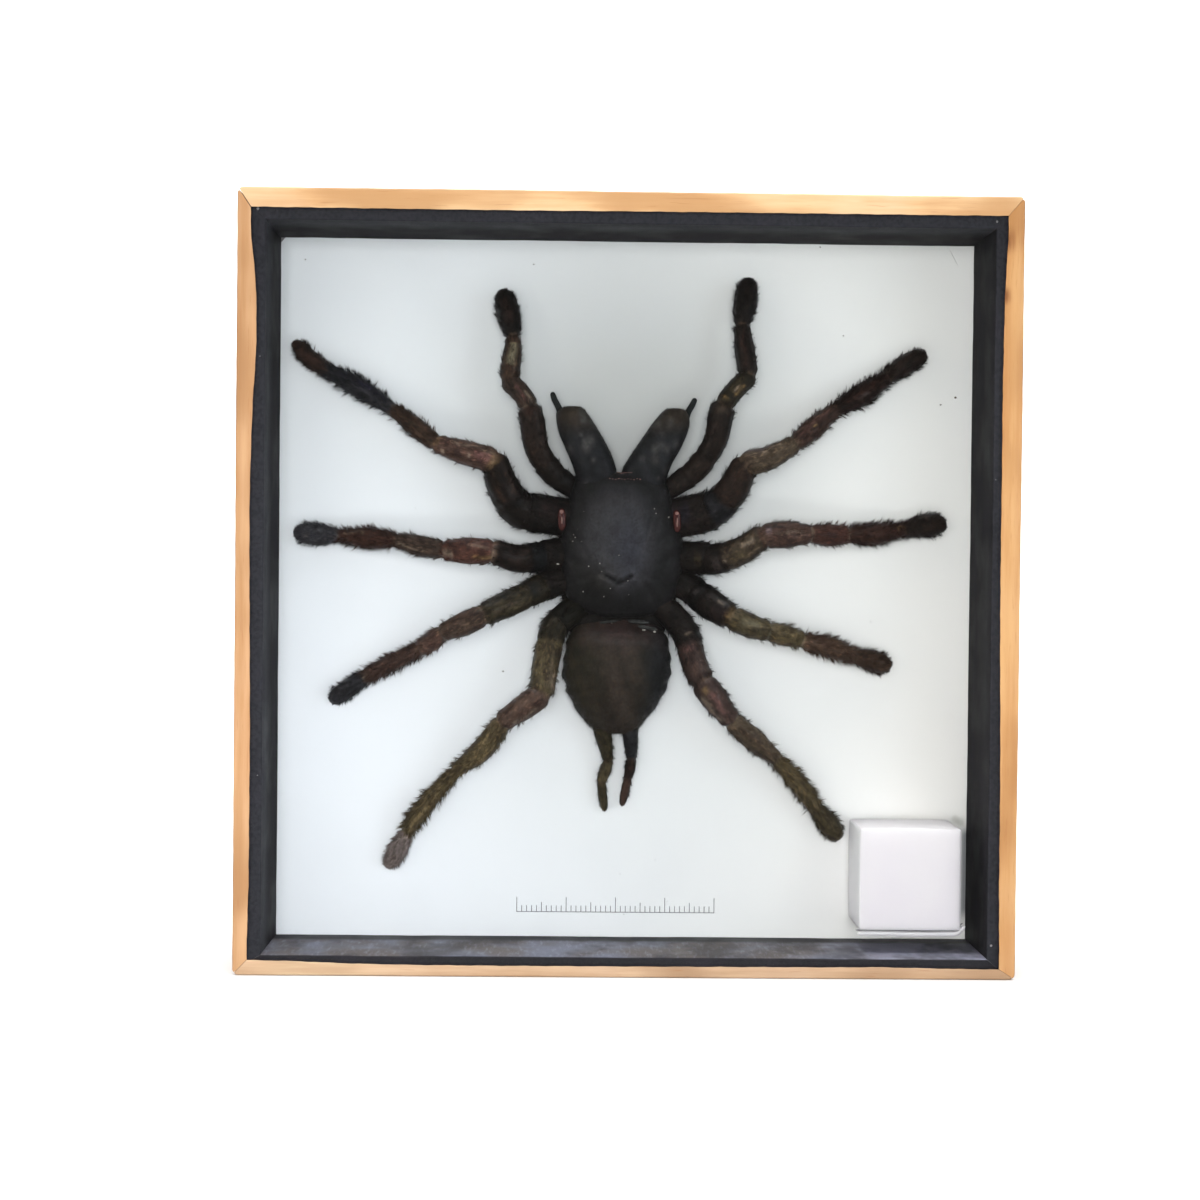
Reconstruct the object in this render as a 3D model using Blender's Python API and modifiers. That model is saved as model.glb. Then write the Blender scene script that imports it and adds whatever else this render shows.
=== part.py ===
"""A dried tarantula in a shallow glazed wooden box frame.

The frame stands on its bottom rail. Its glass front faces -Y and its back faces +Y, with +Z up.
The origin is the middle of the underside. The spider lies spread on a white board at the bottom
of the box, head up, so "left" and "right" are as seen through the glass.
"""
import math

import bmesh
import bpy
from mathutils import Matrix, Vector

MM = 0.001

# Overall size of the frame, and the clearance left between neighbouring pieces.
FRAME_WIDTH = 150 * MM
FRAME_HEIGHT = 150 * MM
FRAME_DEPTH = 30 * MM
GAP = 0.3 * MM

# Wood around the opening. The lip is the part of a rail that shows beside the glass. The rails
# were cut by hand and differ a little. Each row is left, right, bottom, top.
LIP_WIDTH = (3.05 * MM, 3.7 * MM, 2.05 * MM, 3.9 * MM)
RAIL_THICKNESS = (4.3 * MM, 4.3 * MM, 2.7 * MM, 5.1 * MM)
RABBET_DEPTH = 3.4 * MM
RAIL_ROUNDING = 0.35 * MM

# Black lining inside the rails: a strip along each wall, folded outwards under the glass.
LINER_THICKNESS = 0.6 * MM

# Glass, backing board and rear panel.
GLASS_THICKNESS = 2.0 * MM
GLASS_SETBACK = 0.2 * MM
GLASS_MARGIN = (3.85 * MM, 4.6 * MM, 2.5 * MM, 4.25 * MM)
BOARD_DEPTH_BEHIND_FRONT = 24 * MM
BOARD_THICKNESS = 2.0 * MM
PANEL_THICKNESS = 1.7 * MM

# Folded paper box in the lower right corner.
BOX_SIZE = (20.2 * MM, 16.0 * MM, 20.2 * MM)
BOX_CORNER = (45.7 * MM, 8.0 * MM)
BOX_ROUNDING = 0.7 * MM

# Toothed plate hanger with two domed tacks, sunk in the recess of the back.
HANGER_LENGTH = 38 * MM
HANGER_HEIGHT = 7 * MM
HANGER_THICKNESS = 0.5 * MM
HANGER_TEETH = 9
HANGER_TOOTH_DEPTH = 1.0 * MM
HANGER_MIDDLE_Z = 131 * MM
TACK_SPACING = 31 * MM
TACK_HEAD_RADIUS = 2.2 * MM
TACK_HEAD_HEIGHT = 0.7 * MM
TACK_SHANK_RADIUS = 0.6 * MM
TACK_HOLE_RADIUS = 0.95 * MM
TACK_HOLE_DEPTH = 1.0 * MM

# Limb tubes: sides come from the bevel resolution, rings from the steps between stations.
LIMB_BEVEL_RESOLUTION = 2
LIMB_STEPS = 3
BODY_SIDES = 22
BODY_RINGS = 13

# Heights of limb stations above the board, in millimetres, from the body to the tip.
# Legs: base, coxa, trochanter, femur, knee, patella, patella end, tibia, tibia end,
# metatarsus, metatarsus end, tarsus, tip. The knees arch towards the glass.
LEG_HEIGHTS = (5.4, 5.6, 6.8, 9.0, 11.0, 11.0, 9.6, 8.2, 6.8, 5.4, 3.6, 2.9, 2.7)
# Pedipalps: base, coxa, trochanter, femur, femur end, knee, patella, patella end, tibia,
# tibia end, tarsus, tip.
PALP_HEIGHTS = (5.4, 5.6, 6.4, 8.4, 9.6, 9.8, 9.6, 9.2, 8.2, 7.0, 5.4, 4.6)
# Chelicerae: hidden root, base, middle, shoulder, end, then the fang's root, bend and tip.
CHELICERA_HEIGHTS = (7.4, 7.4, 7.4, 7.4, 7.4, 7.2, 6.8, 6.6)
# Spinnerets: hidden root, first joint, end, second joint, end, third joint, tip.
SPINNERET_HEIGHTS = (4.6, 4.2, 3.6, 3.0, 2.4, 2.0, 1.7)

# Limb stations across the board, in millimetres: x, z, width.
LIMBS = {
    "leg_1_left": (LEG_HEIGHTS, (
        (-10.9, 88.1, 5.8), (-16.9, 88.9, 6.8), (-21.7, 90.0, 6.6), (-24.8, 94.5, 6.5),
        (-26.6, 98.9, 5.3), (-32.7, 100.8, 4.9), (-37.7, 102.6, 3.6), (-42.3, 106.0, 4.2),
        (-46.6, 109.2, 3.0), (-53.8, 113.8, 4.6), (-59.6, 116.9, 3.2), (-63.4, 119.4, 4.0),
        (-66.9, 123.1, 1.4))),
    "leg_2_left": (LEG_HEIGHTS, (
        (-10.8, 81.1, 5.0), (-15.2, 80.7, 5.6), (-18.2, 80.3, 5.6), (-22.1, 80.0, 5.5),
        (-26.4, 81.2, 4.9), (-31.4, 81.4, 5.5), (-36.1, 81.6, 4.0), (-41.0, 82.3, 4.4),
        (-45.6, 83.4, 3.2), (-51.5, 83.8, 4.8), (-57.1, 84.2, 3.0), (-62.0, 84.4, 5.0),
        (-66.7, 84.9, 1.6))),
    "leg_3_left": (LEG_HEIGHTS, (
        (-10.8, 76.2, 4.2), (-14.8, 75.2, 5.0), (-17.9, 73.8, 5.2), (-23.0, 71.2, 5.3),
        (-28.1, 68.8, 4.7), (-32.0, 67.0, 4.9), (-36.2, 65.2, 3.6), (-38.4, 63.5, 4.4),
        (-40.9, 61.9, 3.4), (-46.3, 59.1, 4.0), (-51.9, 56.1, 3.4), (-55.9, 53.2, 4.2),
        (-59.2, 50.9, 1.6))),
    "leg_4_left": (LEG_HEIGHTS, (
        (-9.7, 70.4, 4.2), (-12.5, 68.2, 4.8), (-14.5, 65.8, 5.2), (-15.8, 59.4, 5.4),
        (-16.9, 53.7, 5.1), (-20.0, 50.7, 5.1), (-24.2, 47.6, 4.2), (-28.5, 41.7, 4.8),
        (-33.5, 37.6, 3.0), (-40.7, 29.3, 4.2), (-43.3, 24.9, 3.2), (-45.2, 21.1, 4.4),
        (-47.6, 17.6, 1.6))),
    "leg_1_right": (LEG_HEIGHTS, (
        (9.1, 88.3, 5.8), (15.1, 89.5, 7.0), (18.3, 91.1, 6.6), (21.1, 94.6, 6.3),
        (23.3, 98.7, 5.3), (27.8, 100.3, 4.9), (32.9, 103.2, 3.8), (37.3, 106.9, 4.6),
        (41.1, 110.0, 3.4), (46.8, 113.4, 5.0), (51.9, 117.0, 3.6), (56.4, 120.1, 4.6),
        (60.1, 122.0, 1.6))),
    "leg_2_right": (LEG_HEIGHTS, (
        (9.2, 80.6, 5.0), (14.4, 80.5, 5.8), (17.9, 80.3, 5.6), (22.8, 82.1, 5.5),
        (26.8, 84.7, 5.1), (31.5, 85.2, 5.5), (36.1, 85.4, 4.0), (40.0, 85.3, 4.8),
        (44.0, 85.4, 3.8), (49.8, 85.6, 5.0), (55.3, 86.5, 3.4), (60.5, 87.5, 5.2),
        (64.6, 87.7, 1.6))),
    "leg_3_right": (LEG_HEIGHTS, (
        (9.2, 76.0, 4.2), (12.8, 74.3, 5.0), (14.8, 72.8, 5.6), (17.4, 70.9, 6.1),
        (20.6, 68.9, 5.1), (24.0, 67.3, 5.1), (28.1, 66.1, 4.2), (31.7, 65.3, 4.6),
        (35.2, 64.3, 3.6), (41.2, 62.7, 4.8), (46.1, 61.1, 3.6), (50.1, 60.1, 5.0),
        (53.8, 58.9, 1.8))),
    "leg_4_right": (LEG_HEIGHTS, (
        (7.3, 70.6, 4.2), (10.1, 68.0, 4.8), (12.1, 64.9, 5.2), (13.4, 60.2, 5.3),
        (15.1, 56.2, 5.1), (17.5, 52.8, 5.5), (21.0, 48.5, 4.3), (25.9, 44.2, 4.8),
        (30.3, 40.5, 3.2), (35.1, 35.4, 4.2), (38.5, 30.6, 3.4), (41.4, 27.1, 4.8),
        (43.7, 23.9, 1.8))),
    "pedipalp_left": (PALP_HEIGHTS, (
        (-8.5, 92.4, 3.0), (-12.2, 95.1, 4.0), (-15.0, 97.3, 4.6), (-18.0, 101.9, 4.8),
        (-19.0, 107.3, 4.9), (-20.2, 111.1, 4.0), (-21.6, 113.0, 4.0), (-23.4, 115.2, 4.0),
        (-23.2, 119.5, 4.0), (-23.0, 123.7, 3.2), (-24.0, 128.9, 5.2), (-25.3, 133.7, 1.4))),
    "pedipalp_right": (PALP_HEIGHTS, (
        (6.6, 92.6, 3.0), (10.4, 95.5, 4.0), (13.9, 98.4, 4.4), (17.3, 103.7, 4.6),
        (18.3, 108.8, 5.1), (19.5, 111.7, 4.0), (21.4, 114.1, 4.0), (23.4, 116.6, 4.0),
        (23.0, 121.4, 4.2), (22.5, 126.5, 3.4), (23.3, 131.5, 5.2), (24.0, 136.6, 1.4))),
    "chelicera_left": (CHELICERA_HEIGHTS, (
        (-5.3, 94.4, 6.2), (-6.3, 97.5, 7.2), (-7.8, 101.3, 8.1), (-9.7, 105.2, 8.9),
        (-11.3, 108.0, 6.8), (-12.9, 109.4, 2.6), (-14.1, 111.2, 1.6), (-15.1, 112.8, 0.6))),
    "chelicera_right": (CHELICERA_HEIGHTS, (
        (2.7, 94.4, 6.2), (4.0, 97.6, 7.2), (5.6, 101.2, 8.1), (7.6, 105.0, 8.9),
        (9.5, 107.4, 6.8), (11.2, 108.7, 2.6), (12.5, 110.3, 1.6), (13.4, 111.7, 0.6))),
    "spinneret_left": (SPINNERET_HEIGHTS, (
        (-4.9, 47.0, 2.2), (-3.9, 43.2, 2.4), (-3.2, 39.7, 1.8), (-3.7, 37.6, 2.2),
        (-4.4, 35.2, 1.8), (-4.1, 32.0, 1.8), (-3.7, 29.1, 0.8))),
    "spinneret_right": (SPINNERET_HEIGHTS, (
        (1.1, 47.1, 2.2), (1.3, 43.2, 2.3), (1.5, 40.0, 1.8), (1.3, 38.1, 2.0),
        (0.9, 36.0, 1.6), (0.3, 33.1, 1.7), (-0.3, 30.2, 0.8))),
}

# Body outlines from head to tail, in millimetres: z, left x, right x, top and underside
# heights above the board.
CARAPACE_OUTLINE = (
    (97.0, -8.2, 5.0, 9.0, 3.4), (95.4, -9.6, 6.9, 10.6, 2.0), (91.6, -11.6, 8.9, 11.6, 1.2),
    (87.0, -12.9, 10.7, 12.0, 0.8), (81.5, -13.2, 11.5, 11.8, 0.8),
    (76.0, -12.6, 10.7, 11.2, 0.8), (71.6, -10.6, 8.5, 10.0, 1.4),
    (69.2, -6.7, 5.3, 8.6, 2.4), (68.4, -3.6, 2.4, 7.6, 3.4))
ABDOMEN_OUTLINE = (
    (67.9, -2.4, 0.4, 6.6, 3.6), (66.9, -3.4, 1.3, 7.0, 3.4), (66.2, -7.6, 5.4, 8.2, 2.2),
    (64.9, -10.6, 7.9, 9.8, 1.2), (61.8, -12.0, 8.8, 11.0, 0.7),
    (57.9, -12.7, 9.0, 11.5, 0.5), (54.6, -12.0, 7.9, 11.3, 0.5),
    (51.1, -10.3, 6.1, 10.3, 0.6), (48.3, -8.5, 4.2, 8.8, 1.2),
    (46.4, -6.3, 2.3, 7.2, 2.2), (45.3, -3.7, 0.1, 6.0, 3.2))

FRONT_Y = -FRAME_DEPTH / 2
BACK_Y = FRAME_DEPTH / 2
BOARD_FACE_Y = FRONT_Y + BOARD_DEPTH_BEHIND_FRONT
SIDES = ("left", "right", "bottom", "top")


def clear_scene():
    """Remove whatever the file holds."""
    for item in list(bpy.data.objects):
        bpy.data.objects.remove(item, do_unlink=True)
    for group in list(bpy.data.collections):
        bpy.data.collections.remove(group)


def new_collection(name):
    """Add a collection to the scene."""
    group = bpy.data.collections.new(name)
    bpy.context.scene.collection.children.link(group)
    return group


def new_material(name, colour, roughness, metallic=0.0, alpha=1.0):
    """Make a plain Principled material."""
    material = bpy.data.materials.new(name)
    material.use_nodes = True
    shader = material.node_tree.nodes["Principled BSDF"]
    shader.inputs["Base Color"].default_value = (*colour, 1.0)
    shader.inputs["Roughness"].default_value = roughness
    shader.inputs["Metallic"].default_value = metallic
    shader.inputs["Alpha"].default_value = alpha
    material.diffuse_color = (*colour, alpha)
    return material


def add_object(name, mesh, material=None, location=(0, 0, 0)):
    """Put a mesh in the model under the common empty, or in the cutters if it has no material."""
    item = bpy.data.objects.new(name, mesh)
    item.location = location
    if material is None:
        cutters.objects.link(item)
        item.hide_render = True
        item.display_type = "WIRE"
    else:
        parts.objects.link(item)
        mesh.materials.append(material)
    item.parent = root
    return item


def mesh_from(bm, name, smooth=False):
    """Turn a bmesh into a mesh with its faces pointing out."""
    bm.normal_update()
    bmesh.ops.recalc_face_normals(bm, faces=bm.faces)
    mesh = bpy.data.meshes.new(name)
    bm.to_mesh(mesh)
    bm.free()
    if smooth:
        mesh.shade_smooth()
        mesh.set_sharp_from_angle(angle=math.radians(50))
    return mesh


def cut(item, cutter):
    """Subtract one object from another."""
    modifier = item.modifiers.new("cut by " + cutter.name, "BOOLEAN")
    modifier.operation = "DIFFERENCE"
    modifier.solver = "EXACT"
    modifier.object = cutter


def round_edges(item, width, segments=1):
    """Round the sharp edges of an object."""
    modifier = item.modifiers.new("rounding", "BEVEL")
    modifier.width = width
    modifier.segments = segments
    modifier.limit_method = "ANGLE"
    modifier.angle_limit = math.radians(40)


def add_box(name, low, high, material=None, rounding=0.0):
    """Make a box between two corners, placed by its centre."""
    low = Vector(low)
    high = Vector(high)
    bm = bmesh.new()
    bmesh.ops.create_cube(bm, size=1.0, matrix=Matrix.Diagonal((*(high - low), 1.0)))
    item = add_object(name, mesh_from(bm, name), material, (low + high) / 2)
    if rounding:
        round_edges(item, rounding)
    return item


def inset_rectangle(margins):
    """Give left, right, bottom and top of the frame's front, moved in by four margins."""
    left, right, bottom, top = margins
    return (-FRAME_WIDTH / 2 + left, FRAME_WIDTH / 2 - right, bottom, FRAME_HEIGHT - top)


def grown_margins(margins, amount):
    """Change four margins by the same amount."""
    return tuple(margin + amount for margin in margins)


def mitred_bar(name, side, outer, inner, front_y, back_y, material):
    """Make one of four bars that fill the space between two rectangles, mitred at its ends."""
    ends = {
        "left": ((outer[0], outer[2]), (outer[0], outer[3]), (inner[0], inner[3]),
                 (inner[0], inner[2])),
        "right": ((outer[1], outer[2]), (outer[1], outer[3]), (inner[1], inner[3]),
                  (inner[1], inner[2])),
        "bottom": ((outer[0], outer[2]), (outer[1], outer[2]), (inner[1], inner[2]),
                   (inner[0], inner[2])),
        "top": ((outer[0], outer[3]), (outer[1], outer[3]), (inner[1], inner[3]),
                (inner[0], inner[3])),
    }[side]
    along = Vector((0, 0, 1)) if side in ("left", "right") else Vector((1, 0, 0))
    middle = Vector(((outer[0] + outer[1]) / 2, 0, (outer[2] + outer[3]) / 2))
    joint = along * (GAP * math.sqrt(0.5))
    bm = bmesh.new()
    corners = []
    for x, z in ends:
        point = Vector((x, front_y, z))
        inwards = -1 if (point - middle).dot(along) > 0 else 1
        corners.append(bm.verts.new(point + joint * inwards))
    face = bm.faces.new(corners)
    extruded = bmesh.ops.extrude_face_region(bm, geom=[face])["geom"]
    moved = [item for item in extruded if isinstance(item, bmesh.types.BMVert)]
    bmesh.ops.translate(bm, verts=moved, vec=(0, back_y - front_y, 0))
    return add_object(name, mesh_from(bm, name), material)


def build_rails(material):
    """Four mitred rails with a rabbet for the glass along their front inner edge."""
    outer = inset_rectangle((0, 0, 0, 0))
    inner = inset_rectangle(RAIL_THICKNESS)
    left, right, bottom, top = inset_rectangle(LIP_WIDTH)
    rabbet = add_box("rabbet_cutter", (left, FRONT_Y - RABBET_DEPTH, bottom),
                     (right, FRONT_Y + RABBET_DEPTH, top))
    for side in SIDES:
        rail = mitred_bar("rail_" + side, side, outer, inner, FRONT_Y, BACK_Y, material)
        cut(rail, rabbet)
        round_edges(rail, RAIL_ROUNDING)


def build_liners(material):
    """Four black strips along the inner walls, each folded outwards under the glass."""
    front_y = FRONT_Y + RABBET_DEPTH - GAP - LINER_THICKNESS
    fold_back_y = front_y + LINER_THICKNESS
    back_y = BOARD_FACE_Y - GAP
    outer = inset_rectangle(grown_margins(LIP_WIDTH, GAP))
    wall = inset_rectangle(grown_margins(RAIL_THICKNESS, GAP))
    inner = inset_rectangle(grown_margins(RAIL_THICKNESS, GAP + LINER_THICKNESS))
    far = 2 * FRAME_WIDTH
    reliefs = {
        "left": ((-far, -far), (wall[0], far)), "right": ((wall[1], -far), (far, far)),
        "bottom": ((-far, -far), (far, wall[2])), "top": ((-far, wall[3]), (far, far))}
    for side in SIDES:
        (low_x, low_z), (high_x, high_z) = reliefs[side]
        relief = add_box("liner_relief_" + side, (low_x, fold_back_y, low_z),
                         (high_x, back_y + FRAME_DEPTH, high_z))
        liner = mitred_bar("liner_" + side, side, outer, inner, front_y, back_y, material)
        cut(liner, relief)


def build_sheets(glass, board, hardboard):
    """The glass, the white board that carries the spider, and the panel behind it."""
    left, right, bottom, top = inset_rectangle(GLASS_MARGIN)
    glass_y = FRONT_Y + GLASS_SETBACK
    add_box("glass", (left, glass_y, bottom), (right, glass_y + GLASS_THICKNESS, top), glass,
            rounding=0.2 * MM)
    left, right, bottom, top = inset_rectangle(grown_margins(RAIL_THICKNESS, GAP))
    board_back_y = BOARD_FACE_Y + BOARD_THICKNESS
    add_box("backing_board", (left, BOARD_FACE_Y, bottom), (right, board_back_y, top), board)
    panel_y = board_back_y + GAP
    panel_back_y = panel_y + PANEL_THICKNESS
    panel = add_box("back_panel", (left, panel_y, bottom), (right, panel_back_y, top), hardboard)
    return panel, panel_back_y


def tack_places():
    """The x positions of the two tacks."""
    return {"left": -TACK_SPACING / 2, "right": TACK_SPACING / 2}


def add_tack_hole_cutter(name, x, front_y, back_y):
    """A round cutter along Y for a tack's shank."""
    bm = bmesh.new()
    bmesh.ops.create_cone(bm, cap_ends=True, segments=12, radius1=TACK_HOLE_RADIUS,
                          radius2=TACK_HOLE_RADIUS, depth=back_y - front_y,
                          matrix=Matrix.Rotation(math.pi / 2, 4, "X"))
    middle = (x, (front_y + back_y) / 2, HANGER_MIDDLE_Z)
    return add_object(name, mesh_from(bm, name), None, middle)


def build_hanger(panel, panel_back_y, metal):
    """A toothed hanging plate held by two tacks."""
    plate_y = panel_back_y + GAP
    plate_back_y = plate_y + HANGER_THICKNESS
    half_length = HANGER_LENGTH / 2
    half_height = HANGER_HEIGHT / 2
    tooth_span = 0.5 * HANGER_LENGTH
    outline = [(-half_length, -half_height), (-half_length, half_height),
               (half_length, half_height), (half_length, -half_height)]
    for step in range(2 * HANGER_TEETH + 1):
        x = tooth_span / 2 - tooth_span * step / (2 * HANGER_TEETH)
        depth = HANGER_TOOTH_DEPTH if step % 2 else 0.0
        outline.append((x, -half_height + depth))
    curve = bpy.data.curves.new("hanger_outline", "CURVE")
    curve.dimensions = "2D"
    curve.fill_mode = "BOTH"
    curve.extrude = HANGER_THICKNESS / 2
    spline = curve.splines.new("POLY")
    spline.points.add(len(outline) - 1)
    spline.use_cyclic_u = True
    for point, (x, y) in zip(spline.points, outline):
        point.co = (x, y, 0, 1)
    plate = mesh_of_curve("hanger", curve)
    plate.transform(Matrix.Rotation(math.pi / 2, 4, "X"))
    middle_y = (plate_y + plate_back_y) / 2
    hanger = add_object("hanger", plate, metal, (0, middle_y, HANGER_MIDDLE_Z))
    for side, x in tack_places().items():
        hole = add_tack_hole_cutter("tack_hole_" + side, x, panel_back_y - TACK_HOLE_DEPTH,
                                    BACK_Y)
        cut(hanger, hole)
        cut(panel, hole)
        build_tack("tack_" + side, x, plate_back_y + GAP, panel_back_y, metal)


def build_tack(name, x, head_y, panel_back_y, metal):
    """A domed tack, turned about its own axis, whose shank runs into the panel."""
    shank_end = panel_back_y - TACK_HOLE_DEPTH + GAP - head_y
    profile = [(0.0, TACK_HEAD_HEIGHT)]
    dome_steps = 4
    for step in range(1, dome_steps + 1):
        angle = math.pi / 2 * step / dome_steps
        profile.append((TACK_HEAD_RADIUS * math.sin(angle), TACK_HEAD_HEIGHT * math.cos(angle)))
    profile += [(TACK_SHANK_RADIUS, 0.0), (TACK_SHANK_RADIUS, shank_end), (0.0, shank_end)]
    mesh = bpy.data.meshes.new(name)
    points = [(radius, 0.0, height) for radius, height in profile]
    mesh.from_pydata(points, [(i, i + 1) for i in range(len(points) - 1)], [])
    tack = add_object(name, mesh, metal, (x, head_y, HANGER_MIDDLE_Z))
    tack.rotation_euler = (-math.pi / 2, 0, 0)
    screw = tack.modifiers.new("turning", "SCREW")
    screw.axis = "Z"
    screw.angle = 2 * math.pi
    screw.steps = 12
    screw.render_steps = 12
    screw.use_merge_vertices = True
    screw.merge_threshold = 0.00001


def mesh_of_curve(name, curve):
    """Evaluate a curve into a closed mesh and remove the curve."""
    holder = bpy.data.objects.new(name + "_curve", curve)
    bpy.context.scene.collection.objects.link(holder)
    graph = bpy.context.evaluated_depsgraph_get()
    mesh = bpy.data.meshes.new_from_object(holder.evaluated_get(graph))
    mesh.name = name
    mesh.materials.clear()
    bpy.data.objects.remove(holder, do_unlink=True)
    bm = bmesh.new()
    bm.from_mesh(mesh)
    bmesh.ops.remove_doubles(bm, verts=bm.verts, dist=0.00001)
    bmesh.ops.recalc_face_normals(bm, faces=bm.faces)
    bm.to_mesh(mesh)
    bm.free()
    return mesh


def smooth_value(before, start, end, after, t):
    """Catmull-Rom interpolation from start to end."""
    return 0.5 * (2 * start + (end - before) * t
                  + (2 * before - 5 * start + 4 * end - after) * t * t
                  + (3 * start - before - 3 * end + after) * t ** 3)


def smooth_stations(stations, steps):
    """Insert smooth steps between stations, which are equal-length tuples."""
    last = len(stations) - 1
    rows = []
    for index in range(last):
        before = stations[max(index - 1, 0)]
        start = stations[index]
        end = stations[index + 1]
        after = stations[min(index + 2, last)]
        for step in range(steps):
            t = step / steps
            rows.append(tuple(smooth_value(a, b, c, d, t)
                              for a, b, c, d in zip(before, start, end, after)))
    rows.append(tuple(stations[-1]))
    return rows


def build_limb(name, material, cutter):
    """A tube along a limb's stations, swelling at each segment and narrowing at each joint."""
    heights, places = LIMBS[name]
    stations = [(x, z, height, width / 2) for (x, z, width), height in zip(places, heights)]
    rows = smooth_stations(stations, LIMB_STEPS)
    curve = bpy.data.curves.new(name, "CURVE")
    curve.dimensions = "3D"
    curve.twist_mode = "MINIMUM"
    curve.bevel_depth = MM
    curve.bevel_resolution = LIMB_BEVEL_RESOLUTION
    curve.use_fill_caps = True
    spline = curve.splines.new("POLY")
    spline.points.add(len(rows) - 1)
    for point, (x, z, height, radius) in zip(spline.points, rows):
        point.co = (x * MM, BOARD_FACE_Y - height * MM, z * MM, 1)
        point.radius = radius
    mesh = mesh_of_curve(name, curve)
    mesh.shade_smooth()
    mesh.set_sharp_from_angle(angle=math.radians(50))
    limb = add_object(name, mesh, material)
    cut(limb, cutter)


def body_mesh(name, outline, grow):
    """A rounded body whose rings follow an outline, grown on all sides by an amount."""
    rings = BODY_RINGS
    stations = smooth_stations(outline, 4)
    grow = grow / MM
    bm = bmesh.new()
    bmesh.ops.create_uvsphere(bm, u_segments=BODY_SIDES, v_segments=rings + 1, radius=1.0)
    for vertex in bm.verts:
        share = math.acos(max(-1.0, min(1.0, vertex.co.z))) / math.pi
        ring = share * (rings + 1) - 1
        place = max(0.0, min(1.0, ring / (rings - 1))) * (len(stations) - 1)
        z, left, right, top, bottom = stations[round(place)]
        across = math.hypot(vertex.co.x, vertex.co.y)
        cosine, sine = (vertex.co.x / across, vertex.co.y / across) if across > 1e-5 else (0, 0)
        half_width = (right - left) / 2 + grow
        half_height = (top - bottom) / 2 + grow
        end = grow if share < 0.5 else -grow
        z += end * abs(share - 0.5) * 2
        x = (left + right) / 2 + half_width * cosine
        height = (top + bottom) / 2 + half_height * sine
        vertex.co = (x * MM, BOARD_FACE_Y - height * MM, z * MM)
    return mesh_from(bm, name, smooth=True)


def build_spider(chitin, abdomen_skin):
    """The spider: carapace and abdomen, then the limbs, trimmed where they meet the body."""
    add_object("carapace", body_mesh("carapace", CARAPACE_OUTLINE, 0.0), chitin)
    add_object("abdomen", body_mesh("abdomen", ABDOMEN_OUTLINE, 0.0), abdomen_skin)
    carapace_cutter = add_object(
        "carapace_cutter", body_mesh("carapace_cutter", CARAPACE_OUTLINE, GAP))
    abdomen_cutter = add_object(
        "abdomen_cutter", body_mesh("abdomen_cutter", ABDOMEN_OUTLINE, GAP))
    for name in LIMBS:
        build_limb(name, chitin, abdomen_cutter if "spinneret" in name else carapace_cutter)


clear_scene()
parts = new_collection("framed_tarantula")
cutters = new_collection("cutters")
root = bpy.data.objects.new("framed_tarantula_origin", None)
parts.objects.link(root)

wood = new_material("wood", (0.78, 0.46, 0.19), 0.45)
black_card = new_material("black_card", (0.02, 0.02, 0.022), 0.35)
clear_glass = new_material("glass", (0.95, 0.98, 0.97), 0.02, alpha=0.25)
white_board = new_material("white_board", (0.82, 0.84, 0.86), 0.8)
white_paper = new_material("white_paper", (0.86, 0.83, 0.87), 0.75)
brown_board = new_material("brown_hardboard", (0.22, 0.12, 0.06), 0.7)
tin = new_material("tinned_steel", (0.6, 0.6, 0.58), 0.35, metallic=1.0)
spider_shell = new_material("spider_shell", (0.03, 0.02, 0.016), 0.6)
spider_abdomen = new_material("spider_abdomen", (0.035, 0.03, 0.022), 0.75)

build_rails(wood)
build_liners(black_card)
rear_panel, rear_panel_y = build_sheets(clear_glass, white_board, brown_board)
build_hanger(rear_panel, rear_panel_y, tin)
add_box("paper_box", (BOX_CORNER[0], BOARD_FACE_Y - BOX_SIZE[1], BOX_CORNER[1]),
        (BOX_CORNER[0] + BOX_SIZE[0], BOARD_FACE_Y - GAP, BOX_CORNER[1] + BOX_SIZE[2]),
        white_paper, rounding=BOX_ROUNDING)
build_spider(spider_shell, spider_abdomen)
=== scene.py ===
import math

import bmesh
import bpy
import numpy as np
from mathutils import Matrix, Vector


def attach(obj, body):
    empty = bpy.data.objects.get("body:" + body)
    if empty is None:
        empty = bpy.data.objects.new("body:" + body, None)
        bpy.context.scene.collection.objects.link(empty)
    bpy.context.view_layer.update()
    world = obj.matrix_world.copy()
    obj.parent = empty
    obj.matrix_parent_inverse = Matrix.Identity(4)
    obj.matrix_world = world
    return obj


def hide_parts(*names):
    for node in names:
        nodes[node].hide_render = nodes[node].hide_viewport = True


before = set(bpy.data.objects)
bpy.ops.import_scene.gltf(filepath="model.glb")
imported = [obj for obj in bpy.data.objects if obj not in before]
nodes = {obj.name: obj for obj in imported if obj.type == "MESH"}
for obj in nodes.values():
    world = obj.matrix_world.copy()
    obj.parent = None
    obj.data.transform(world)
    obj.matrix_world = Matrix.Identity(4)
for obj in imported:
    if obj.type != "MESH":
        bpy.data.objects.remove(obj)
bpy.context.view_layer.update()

# Lengths below are in millimetres unless a name says otherwise. The frame is upright: the glass
# faces -Y, the board's face is at BOARD_Y, and a height is measured from the board to the glass.
MM = 0.001
FRONT_Y = -15.0
BACK_Y = 15.0
BOARD_Y = 9.0
WIDTH = 150.0
HEIGHT = 150.0


# ---------------------------------------------------------------- colours and materials

def srgb(red, green, blue):
    """A linear colour from 0-255 display values."""
    channels = []
    for value in (red, green, blue):
        share = value / 255
        channels.append(share / 12.92 if share <= 0.04045 else ((share + 0.055) / 1.055) ** 2.4)
    return tuple(channels)


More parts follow.
